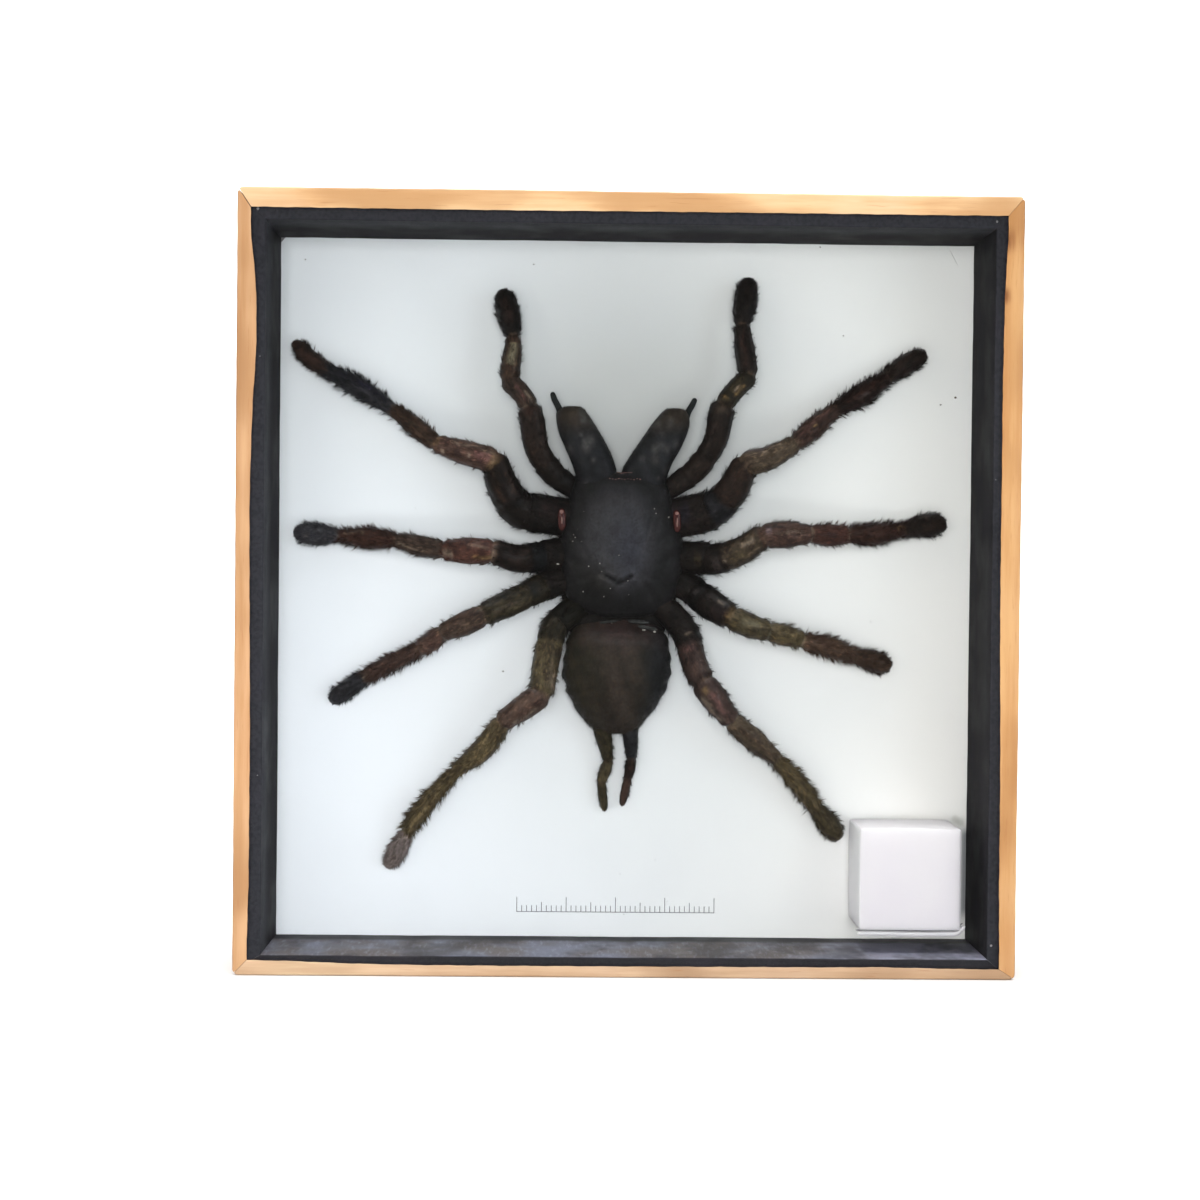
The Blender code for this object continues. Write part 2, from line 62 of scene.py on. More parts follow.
class Material:
    """A Principled material with short calls for its procedural nodes."""

    def __init__(self, name, colour=(0.5, 0.5, 0.5), roughness=0.5, **sockets):
        self.material = bpy.data.materials.new(name)
        self.material.use_nodes = True
        self.tree = self.material.node_tree
        self.shader = self.tree.nodes["Principled BSDF"]
        self.put(self.shader, "Base Color", colour)
        self.put(self.shader, "Roughness", roughness)
        for name, value in sockets.items():
            self.put(self.shader, name.replace("_", " "), value)
        coordinates = self.tree.nodes.new("ShaderNodeTexCoord")
        self.place = coordinates.outputs["Object"]

    def put(self, node, socket, value):
        """Link a node's output to a socket, given by its name or number, or set the socket."""
        target = node.inputs[socket]
        if isinstance(value, bpy.types.NodeSocket):
            self.tree.links.new(value, target)
        elif target.type == "RGBA" and len(value) == 3:
            target.default_value = (*value, 1.0)
        else:
            target.default_value = value

    def node(self, kind, settings=None, **sockets):
        """Add a node."""
        node = self.tree.nodes.new("ShaderNode" + kind)
        for name, value in (settings or {}).items():
            setattr(node, name, value)
        for name, value in sockets.items():
            self.put(node, name.replace("_", " "), value)
        return node

    def attribute(self, name, output="Vector"):
        """Read vertex data of the mesh."""
        return self.node("Attribute", {"attribute_name": name}).outputs[output]

    def scaled(self, vector, scale, shift=(0, 0, 0)):
        """Stretch and shift a vector."""
        node = self.node("Mapping", Vector=vector, Scale=scale, Location=shift)
        return node.outputs["Vector"]

    def noise(self, vector, scale, detail=3.0, roughness=0.55):
        """Fractal noise from 0 to 1."""
        node = self.node("TexNoise", Vector=vector, Scale=scale, Detail=detail,
                         Roughness=roughness)
        return node.outputs["Fac"]

    def ramp(self, value, low, high, to_low=0.0, to_high=1.0):
        """Map a range of a value to another range, clamped and eased."""
        node = self.node("MapRange", {"interpolation_type": "SMOOTHSTEP"}, Value=value)
        for socket, number in (("From Min", low), ("From Max", high),
                               ("To Min", to_low), ("To Max", to_high)):
            self.put(node, socket, number)
        return node.outputs["Result"]

    def mix(self, share, first, second, blend="MIX"):
        """Blend two colours."""
        node = self.node("Mix", {"data_type": "RGBA", "blend_type": blend})
        for index, value in ((0, share), (6, first), (7, second)):
            self.put(node, index, value)
        return node.outputs[2]

    def math(self, operation, first, second):
        """One arithmetic step on two values."""
        node = self.node("Math", {"operation": operation})
        self.put(node, 0, first)
        self.put(node, 1, second)
        return node.outputs[0]

    def near(self, point, inner, outer):
        """1 within the inner distance of a point in millimetres, falling to 0 at the outer."""
        node = self.node("VectorMath", {"operation": "DISTANCE"})
        self.put(node, 0, self.place)
        self.put(node, 1, tuple(value * MM for value in point))
        return self.ramp(node.outputs["Value"], inner * MM, outer * MM, 1.0, 0.0)

    def bump(self, height, depth, strength=0.6):
        """Raise the surface by a height map, at most by a depth in millimetres."""
        node = self.node("Bump", Height=height, Distance=depth * MM, Strength=strength)
        self.put(self.shader, "Normal", node.outputs["Normal"])


def wood_material(name, along, light, deep, stains=(), seed=0.0):
    """Varnished pale wood, its grain running along X (0) or Z (2)."""
    wood = Material(name, roughness=0.42, Coat_Weight=0.25, Coat_Roughness=0.25)
    stretch = [420.0, 420.0, 420.0]
    stretch[along] = 26.0
    lines = wood.noise(wood.scaled(wood.place, stretch, (seed, seed * 2, seed)), 1.0, 5.0, 0.6)
    patch = [60.0, 60.0, 60.0]
    patch[along] = 34.0
    blotch = wood.noise(wood.scaled(wood.place, patch, (seed * 3, 0, seed)), 1.0, 2.0)
    pores = [2600.0, 2600.0, 2600.0]
    pores[along] = 160.0
    pore = wood.noise(wood.scaled(wood.place, pores, (0, seed, 0)), 1.0, 2.0)
    colour = wood.mix(wood.ramp(lines, 0.3, 0.72), light, deep)
    colour = wood.mix(wood.ramp(blotch, 0.46, 0.64, 0.0, 0.85), colour,
                      tuple(channel * 0.84 for channel in deep))
    pale = tuple(channel * gain for channel, gain in zip(light, (1.04, 1.08, 1.25)))
    colour = wood.mix(wood.ramp(blotch, 0.26, 0.5, 0.45, 0.0), colour, pale)
    colour = wood.mix(wood.ramp(pore, 0.62, 0.75, 0.0, 0.35), colour, srgb(150, 96, 56))
    for point, inner, outer, tint, strength in stains:
        mask = wood.math("MULTIPLY", wood.near(point, inner, outer),
                         wood.ramp(lines, 0.42, 0.62, 0.1, strength))
        colour = wood.mix(mask, colour, tint)
    wood.put(wood.shader, "Base Color", colour)
    wood.put(wood.shader, "Roughness", wood.ramp(lines, 0.2, 0.8, 0.36, 0.52))
    wood.bump(wood.math("ADD", lines, pore), 0.03, 0.5)
    return wood.material


def card_material(name, front, wall, dust=0.0):
    """Black coated card with fine fibres and painted shade, darker near the board. Upward faces can
    carry dust and a painted sheen.
    """
    card = Material(name, roughness=0.6, Specular_IOR_Level=0.2 if dust else 0.02)
    fibre = card.noise(card.place, 1500.0, 1.0)
    cloud = card.noise(card.place, 90.0, 2.0)
    normal = card.node("NewGeometry").outputs["Normal"]
    split = card.node("SeparateXYZ", Vector=normal)
    place = card.node("SeparateXYZ", Vector=card.place)
    # Painted light and shade: the front-facing flange and the walls of one card get their own
    # greys, and the walls get darker towards the board.
    facing = card.ramp(split.outputs["Y"], -0.7, -0.3, 1.0, 0.0)
    deep = card.mix(card.ramp(place.outputs["Y"], -9 * MM, -1 * MM), wall, srgb(28, 26, 29))
    colour = card.mix(facing, deep, front)
    colour = card.mix(card.ramp(fibre, 0.35, 0.75, 0.0, 0.35), colour, srgb(24, 24, 27))
    colour = card.mix(card.ramp(cloud, 0.5, 0.72, 0.0, 0.18), colour, srgb(66, 62, 72))
    if dust:
        # Dust and painted sheen on upward faces: lavender-grey patches and strokes, bluer to the
        # right, faded out near the board as painted shade.
        upward = card.ramp(split.outputs["Z"], 0.5, 0.9)
        depth = card.ramp(place.outputs["Y"], 2.5 * MM, 5.5 * MM, 1.0, 0.0)
        patch = card.noise(card.scaled(card.place, (110, 60, 60), (3, 0, 0)), 1.0, 3.0, 0.65)
        stroke = card.noise(card.scaled(card.place, (1500, 260, 500)), 1.0, 2.0)
        grey = card.mix(card.ramp(cloud, 0.35, 0.65), srgb(97, 99, 114), srgb(92, 86, 84))
        grey = card.mix(card.ramp(stroke, 0.5, 0.72, 0.0, 0.45), grey, srgb(134, 135, 148))
        right = card.ramp(place.outputs["X"], 30 * MM, 66 * MM, 0.0, 0.75)
        grey = card.mix(right, grey, srgb(148, 148, 166))
        mask = card.math("MULTIPLY", card.math("MULTIPLY", upward, depth),
                         card.ramp(patch, 0.36, 0.58, 0.35 * dust, dust))
        colour = card.mix(mask, colour, grey)
    card.put(card.shader, "Base Color", colour)
    card.put(card.shader, "Roughness", card.ramp(cloud, 0.3, 0.7, 0.5, 0.7))
    card.bump(fibre, 0.02, 0.4)
    return card.material


def paper_material(name, depth=0.02):
    """Matt, slightly translucent paper in vertex colours, with faint clouding and fibres."""
    paper = Material(name, roughness=0.85, Specular_IOR_Level=0.25, Subsurface_Weight=0.7,
                     Subsurface_Radius=(1.0, 1.0, 1.0), Subsurface_Scale=0.004)
    cloud = paper.noise(paper.place, 45.0, 2.0)
    fibre = paper.noise(paper.place, 1300.0, 2.0)
    tint = paper.attribute("tint", "Color")
    shade = paper.mix(1.0, tint, (0.93, 0.92, 0.95), "MULTIPLY")
    colour = paper.mix(paper.ramp(cloud, 0.35, 0.7), tint, shade)
    colour = paper.mix(paper.ramp(fibre, 0.6, 0.8, 0.0, 0.12), colour, srgb(190, 188, 184))
    paper.put(paper.shader, "Base Color", colour)
    paper.bump(fibre, depth, 0.35)
    return paper.material


def board_material():
    """The backing board's paper with painted light: cool white at the lower left, warm on the
    right, painted shade towards the top, between the feelers and around the body, a painted shadow
    strip and a smear beside the paper box."""
    paper = Material("board_paper", roughness=0.85, Specular_IOR_Level=0.25)
    cloud = paper.noise(paper.place, 45.0, 1.0)
    fibre = paper.noise(paper.place, 1300.0, 1.0)
    place = paper.node("SeparateXYZ", Vector=paper.place)
    # Painted light colour: cool white on the left, warm white on the right.
    warm = paper.ramp(place.outputs["X"], -50 * MM, 75 * MM)
    colour = paper.mix(warm, srgb(244, 249, 255), srgb(250, 249, 245))
    # Painted shade: greyer towards the top.
    high = paper.ramp(place.outputs["Z"], 45 * MM, 120 * MM, 0.0, 0.35)
    colour = paper.mix(high, colour, srgb(232, 237, 236))
    # Painted shadow: a grey patch between the feelers and a fainter one around the body.
    painted_shadow = paper.math("MULTIPLY", paper.near((0, BOARD_Y, 108), 4.0, 52.0), 0.9)
    colour = paper.mix(painted_shadow, colour, srgb(187, 190, 188))
    painted_shadow = paper.math("MULTIPLY", paper.near((4, BOARD_Y, 50), 10.0, 70.0), 0.5)
    colour = paper.mix(painted_shadow, colour, srgb(226, 230, 231))
    for point, inner, outer, strength, tint in (
            ((68.7, BOARD_Y, 27.3), 0.2, 1.4, 0.45, srgb(146, 146, 132)),
            ((67.6, BOARD_Y, 27.9), 0.2, 1.3, 0.45, srgb(156, 155, 142))):
        mask = paper.math("MULTIPLY", paper.near(point, inner, outer), strength)
        colour = paper.mix(mask, colour, tint)
    # Painted shadow: a grey strip on the board between the paper box and the right wall.
    strip = paper.math("MULTIPLY", paper.ramp(place.outputs["X"], 68.4 * MM, 69.5 * MM),
                       paper.ramp(place.outputs["Z"], 24.5 * MM, 27.5 * MM, 0.85, 0.0))
    strip = paper.math("MULTIPLY", strip, paper.ramp(place.outputs["Z"], 7 * MM, 10 * MM))
    colour = paper.mix(strip, colour, srgb(116, 121, 124))
    colour = paper.mix(paper.ramp(cloud, 0.35, 0.7, 0.0, 0.12), colour, srgb(214, 218, 222))
    colour = paper.mix(paper.ramp(fibre, 0.6, 0.8, 0.0, 0.1), colour, srgb(190, 188, 184))
    paper.put(paper.shader, "Base Color", colour)
    return paper.material


def hardboard_material():
    """Brown pressed fibre board."""
    board = Material("brown_hardboard", roughness=0.7, Specular_IOR_Level=0.3)
    fibre = board.noise(board.scaled(board.place, (700, 700, 1100)), 1.0, 6.0, 0.7)
    cloud = board.noise(board.place, 30.0, 3.0)
    colour = board.mix(board.ramp(fibre, 0.3, 0.7), srgb(112, 74, 46), srgb(150, 106, 68))
    colour = board.mix(board.ramp(cloud, 0.4, 0.7, 0.0, 0.35), colour, srgb(92, 58, 36))
    board.put(board.shader, "Base Color", colour)
    board.put(board.shader, "Roughness", board.ramp(fibre, 0.3, 0.8, 0.55, 0.8))
    board.bump(fibre, 0.06, 0.6)
    return board.material


def metal_material():
    """Dull plated steel with rolling marks and a few rust freckles."""
    metal = Material("tinned_steel", srgb(190, 190, 184), 0.36, Metallic=0.35)
    marks = metal.noise(metal.scaled(metal.place, (90, 2500, 2500)), 1.0, 3.0)
    freckle = metal.noise(metal.place, 900.0, 3.0)
    colour = metal.mix(metal.ramp(marks, 0.3, 0.7), srgb(150, 150, 147), srgb(180, 179, 173))
    colour = metal.mix(metal.ramp(freckle, 0.68, 0.76, 0.0, 0.8), colour, srgb(120, 78, 50))
    metal.put(metal.shader, "Base Color", colour)
    metal.put(metal.shader, "Roughness", metal.ramp(marks, 0.2, 0.8, 0.28, 0.5))
    metal.bump(marks, 0.01, 0.4)
    return metal.material


def glass_material():
    """Clear sheet glass."""
    glass = Material("clear_glass", (0.985, 0.995, 0.99), 0.0, IOR=1.5, Transmission_Weight=1.0)
    return glass.material


def shell_material(name, gloss=0.4, streaks=0.5, depth=0.05, long=2.0):
    """Dried shell: vertex colours, streaks that are so many times long as wide, and fine grain."""
    shell = Material(name, roughness=gloss, Specular_IOR_Level=0.24)
    tint = shell.mix(1.0, shell.attribute("tint", "Color"), (0.65, 0.645, 0.65), "MULTIPLY")
    strand = shell.attribute("strand")
    streak = shell.noise(shell.scaled(strand, (0.8, 0.8, 0.8 / long)), 1.0, 3.0, 0.5)
    fine = shell.noise(shell.scaled(strand, (1.9, 1.9, 1.9 / long), (5, 3, 1)), 1.0, 3.0)
    grain = shell.noise(shell.place, 1900.0, 3.0)
    dark = shell.mix(1.0, tint, (0.3, 0.27, 0.27), "MULTIPLY")
    colour = shell.mix(shell.ramp(streak, 0.36, 0.56, streaks * 1.7, 0.0), tint, dark)
    pale = shell.mix(1.0, tint, (2.2, 2.05, 1.95), "MULTIPLY")
    colour = shell.mix(shell.ramp(fine, 0.5, 0.68, 0.0, streaks * 1.2), colour, pale)
    colour = shell.mix(shell.ramp(grain, 0.3, 0.6, 0.4, 0.0), colour, dark)
    shell.put(shell.shader, "Base Color", colour)
    shell.put(shell.shader, "Roughness", shell.ramp(fine, 0.3, 0.7, gloss - 0.1, gloss + 0.22))
    shell.bump(shell.math("ADD", fine, shell.math("MULTIPLY", grain, 0.6)), depth, 0.7)
    return shell.material


def hair_material(name):
    """Stiff short bristles that take their colour from the vertex data."""
    hair = Material(name, roughness=0.5, Specular_IOR_Level=0.1)
    tint = hair.mix(1.0, hair.attribute("tint", "Color"), (0.63, 0.63, 0.64), "MULTIPLY")
    vary = hair.noise(hair.place, 2500.0, 2.0)
    pale = hair.mix(1.0, tint, (1.7, 1.6, 1.5), "MULTIPLY")
    hair.put(hair.shader, "Base Color", hair.mix(hair.ramp(vary, 0.5, 0.75, 0.0, 0.5), tint, pale))
    return hair.material


def plain_tint_material(name, colour, roughness=0.6, **sockets):
    """A small trim's colour, slightly mottled. The box's shadow line and the rabbet get painted
    shade, the spider's glints painted highlights.
    """
    trim = Material(name, roughness=roughness, **sockets)
    mottle = trim.noise(trim.place, 1800.0, 2.0)
    dark = tuple(channel * 0.6 for channel in colour)
    trim.put(trim.shader, "Base Color", trim.mix(trim.ramp(mottle, 0.3, 0.7), dark, colour))
    trim.bump(mottle, 0.02, 0.4)
    return trim.material


# ---------------------------------------------------------------- mesh making

def signed_volume(verts, faces):
    """Six times the volume that the faces enclose, negative where they face inwards."""
    total = 0.0
    for group in faces:
        first = verts[group[:, 0]]
        for corner in range(1, group.shape[1] - 1):
            across = np.cross(verts[group[:, corner]], verts[group[:, corner + 1]])
            total += (first * across).sum()
    return total


class Bundle:
    """The mesh data of one piece, gathered from several closed shapes."""

    def __init__(self):
        self.verts = []
        self.tints = []
        self.strands = []
        self.faces = []
        self.count = 0

    def add(self, verts, faces, tint=(0.5, 0.5, 0.5), strand=(0, 0, 0), slot=0):
        """Add a closed shape: its vertices, and an array of faces for each number of corners."""
        verts = np.asarray(verts, float).reshape(-1, 3)
        faces = [np.asarray(group, int) for group in faces]
        turned = signed_volume(verts, faces) < 0
        size = (len(verts), 3)
        self.verts.append(verts)
        self.tints.append(np.broadcast_to(np.asarray(tint, float), size))
        self.strands.append(np.broadcast_to(np.asarray(strand, float), size))
        for group in faces:
            group = group[:, ::-1] if turned else group
            self.faces.append((group + self.count, slot))
        self.count += size[0]

    def make(self, name, materials, slot, replaces=(), smooth=50.0):
        """Turn the gathered shapes into a piece on the part's only body."""
        mesh = bpy.data.meshes.new(name)
        verts = np.concatenate(self.verts) * MM
        mesh.vertices.add(len(verts))
        mesh.vertices.foreach_set("co", verts.ravel())
        loops = np.concatenate([group.ravel() for group, _ in self.faces])
        corners = np.concatenate([np.full(len(group), group.shape[1]) for group, _ in self.faces])
        slots = np.concatenate([np.full(len(group), number) for group, number in self.faces])
        mesh.loops.add(len(loops))
        mesh.loops.foreach_set("vertex_index", loops)
        mesh.polygons.add(len(corners))
        mesh.polygons.foreach_set("loop_start", np.cumsum(corners) - corners)
        mesh.polygons.foreach_set("material_index", slots)
        mesh.update(calc_edges=True)
        mesh.validate()
        tint = mesh.color_attributes.new("tint", "FLOAT_COLOR", "POINT")
        colours = np.ones((len(verts), 4))
        colours[:, :3] = np.concatenate(self.tints)
        tint.data.foreach_set("color", colours.ravel())
        strand = mesh.attributes.new("strand", "FLOAT_VECTOR", "POINT")
        strand.data.foreach_set("vector", np.concatenate(self.strands).ravel())
        for material in materials:
            mesh.materials.append(material)
        if smooth:
            mesh.shade_smooth()
            mesh.set_sharp_from_angle(angle=math.radians(smooth))
        piece = bpy.data.objects.new(name, mesh)
        bpy.context.scene.collection.objects.link(piece)
        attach(piece, "root")
        if replaces:
            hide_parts(*replaces)
        return piece


def smooth_rows(stations, spots):
    """Catmull-Rom values of station rows at fractional row numbers."""
    rows = np.asarray(stations, float)
    last = len(rows) - 1
    index = np.clip(spots.astype(int), 0, last - 1)
    t = (spots - index)[:, None]
    before = rows[np.maximum(index - 1, 0)]
    start = rows[index]
    end = rows[index + 1]
    after = rows[np.minimum(index + 2, last)]
    return 0.5 * (2 * start + (end - before) * t
                  + (2 * before - 5 * start + 4 * end - after) * t ** 2
                  + (3 * start - before - 3 * end + after) * t ** 3)


def bell(values, middle, width):
    """A smooth bump of height 1."""
    return np.exp(-((values - middle) / width) ** 2)


def ease(values, low, high):
    """0 below the low value, 1 above the high one, smooth between."""
    t = np.clip((values - low) / (high - low), 0, 1)
    return t * t * (3 - 2 * t)


def blend(tint, colour, mask):
    """Mix a colour into vertex colours by a mask."""
    return tint + (np.asarray(colour) - tint) * mask[..., None]


def unit(vectors):
    """Vectors of length 1."""
    return vectors / np.maximum(np.linalg.norm(vectors, axis=-1, keepdims=True), 1e-9)


def grid_faces(rings, sides):
    """Quads between the rings of a closed tube."""
    ring = np.arange(rings - 1)[:, None] * sides
    side = np.arange(sides)[None, :]
    after = (side + 1) % sides
    corners = (ring + side, ring + after, ring + sides + after, ring + sides + side)
    return np.stack([np.broadcast_to(c, (rings - 1, sides)) for c in corners], -1).reshape(-1, 4)


def loft_faces(rings, sides):
    """The faces of a closed solid made of rings: its sides and its two ends."""
    first = np.arange(sides)[None, ::-1]
    last = np.arange((rings - 1) * sides, rings * sides)[None, :]
    return [grid_faces(rings, sides), np.concatenate([first, last])]


def waves(around, along, rng, count=5, reach=0.5):
    """Smooth random ripples over a tube."""
    total = np.zeros(np.broadcast(around, along).shape)
    for _ in range(count):
        turns = rng.integers(1, 4)
        speed = rng.uniform(0.3, 1.3) * reach
        total = total + np.sin(turns * around + speed * along + rng.uniform(0, 6.3))
    return total / count


def bristles(bundle, roots, normals, along, lengths, lean, widths, tints, spread, slot=1):
    """Stiff tapered hairs that lean along the surface, each at its own angle from it."""
    size = len(roots)
    out = unit(normals)
    flow = unit(along + spread)
    direction = unit(flow * np.cos(lean)[:, None] + out * np.sin(lean)[:, None] + spread * 0.4)
    across = unit(np.cross(direction, out))
    third = np.cross(direction, across)
    radius = np.broadcast_to(widths, (size,))[:, None] * 0.5
    verts = np.empty((size, 4, 3))
    for corner in range(3):
        angle = 2 * math.pi * corner / 3
        verts[:, corner] = roots + (across * math.cos(angle) + third * math.sin(angle)) * radius
    verts[:, 3] = roots + direction * lengths[:, None]
    base = np.arange(size)[:, None] * 4
    corners = ((0, 1, 3), (1, 2, 3), (2, 0, 3), (2, 1, 0))
    faces = np.concatenate([base + np.array(triangle) for triangle in corners])
    bundle.add(verts, [faces], np.repeat(tints, 4, axis=0), slot=slot)


def make_trim(bundle, name, slot, material_name, colour, roughness=0.8):
    """Turn the gathered shapes into a piece with a material of its own."""
    return bundle.make(name, [plain_tint_material(material_name, colour, roughness)], slot)


# ---------------------------------------------------------------- the spider's limbs

# A limb's colours, named for what they look like.
PALETTE = {
    "black": srgb(30, 24, 21), "umber": srgb(50, 38, 32), "umber_dark": srgb(40, 31, 26),
    "slate": srgb(38, 38, 41), "plum": srgb(62, 48, 47),
    "russet": srgb(66, 44, 36), "rust": srgb(90, 60, 51), "rosy": srgb(92, 70, 61),
    "brown": srgb(76, 58, 46), "taupe": srgb(84, 68, 58), "tan": srgb(100, 86, 70),
    "olive": srgb(70, 62, 44), "olive_dark": srgb(46, 41, 27), "olive_tan": srgb(98, 86, 62),
    "grey": srgb(92, 84, 82), "mauve": srgb(84, 66, 60), "pink": srgb(132, 92, 88),
    "cream": srgb(178, 160, 140), "ochre": srgb(160, 132, 86), "lilac": srgb(140, 124, 130),
    "pale_olive": srgb(166, 160, 132), "midnight": srgb(40, 38, 60),
    "moss": srgb(108, 96, 70), "moss_dark": srgb(94, 82, 58), "fawn": srgb(110, 88, 76),
    "ash": srgb(112, 102, 98),
}

# Heights above the board for each station, station numbers of the joints, and for each segment
# the bristles per square millimetre, their length, their lean from the surface in degrees, the
# skin's share of the full width and the number of random streaks.
KINDS = {
    "leg": (
        (5.4, 5.6, 6.8, 9.0, 11.0, 11.0, 9.6, 8.2, 6.8, 5.4, 3.6, 2.9, 2.7),
        (0, 1.5, 2.4, 4, 6, 8, 10, 12),
        ((7, 1.1, 28, 1.0, 2), (7, 1.1, 28, 0.98, 1), (8, 1.0, 26, 0.96, 3),
         (6, 1.0, 26, 0.96, 5), (11, 1.2, 32, 0.92, 5), (18, 1.4, 40, 0.86, 5),
         (20, 1.1, 42, 0.87, 2))),
    "palp": (
        (5.4, 5.6, 6.4, 8.4, 9.6, 9.8, 9.6, 9.2, 8.2, 7.0, 5.4, 4.6),
        (0, 1.5, 2.4, 4.6, 7, 9, 11),
        ((6, 0.8, 26, 1.1, 1), (7, 0.8, 26, 1.05, 1), (7, 0.9, 24, 1.0, 2),
         (6, 0.8, 24, 0.96, 4), (9, 0.9, 28, 0.95, 3), (18, 0.9, 38, 0.9, 2))),
    "spinneret": (
        (4.6, 4.2, 3.6, 3.0, 2.4, 2.0, 1.7),
        (0, 2, 4, 6),
        ((12, 0.7, 30, 1.15, 2), (12, 0.7, 34, 1.1, 2), (14, 0.6, 32, 1.0, 1))),
}
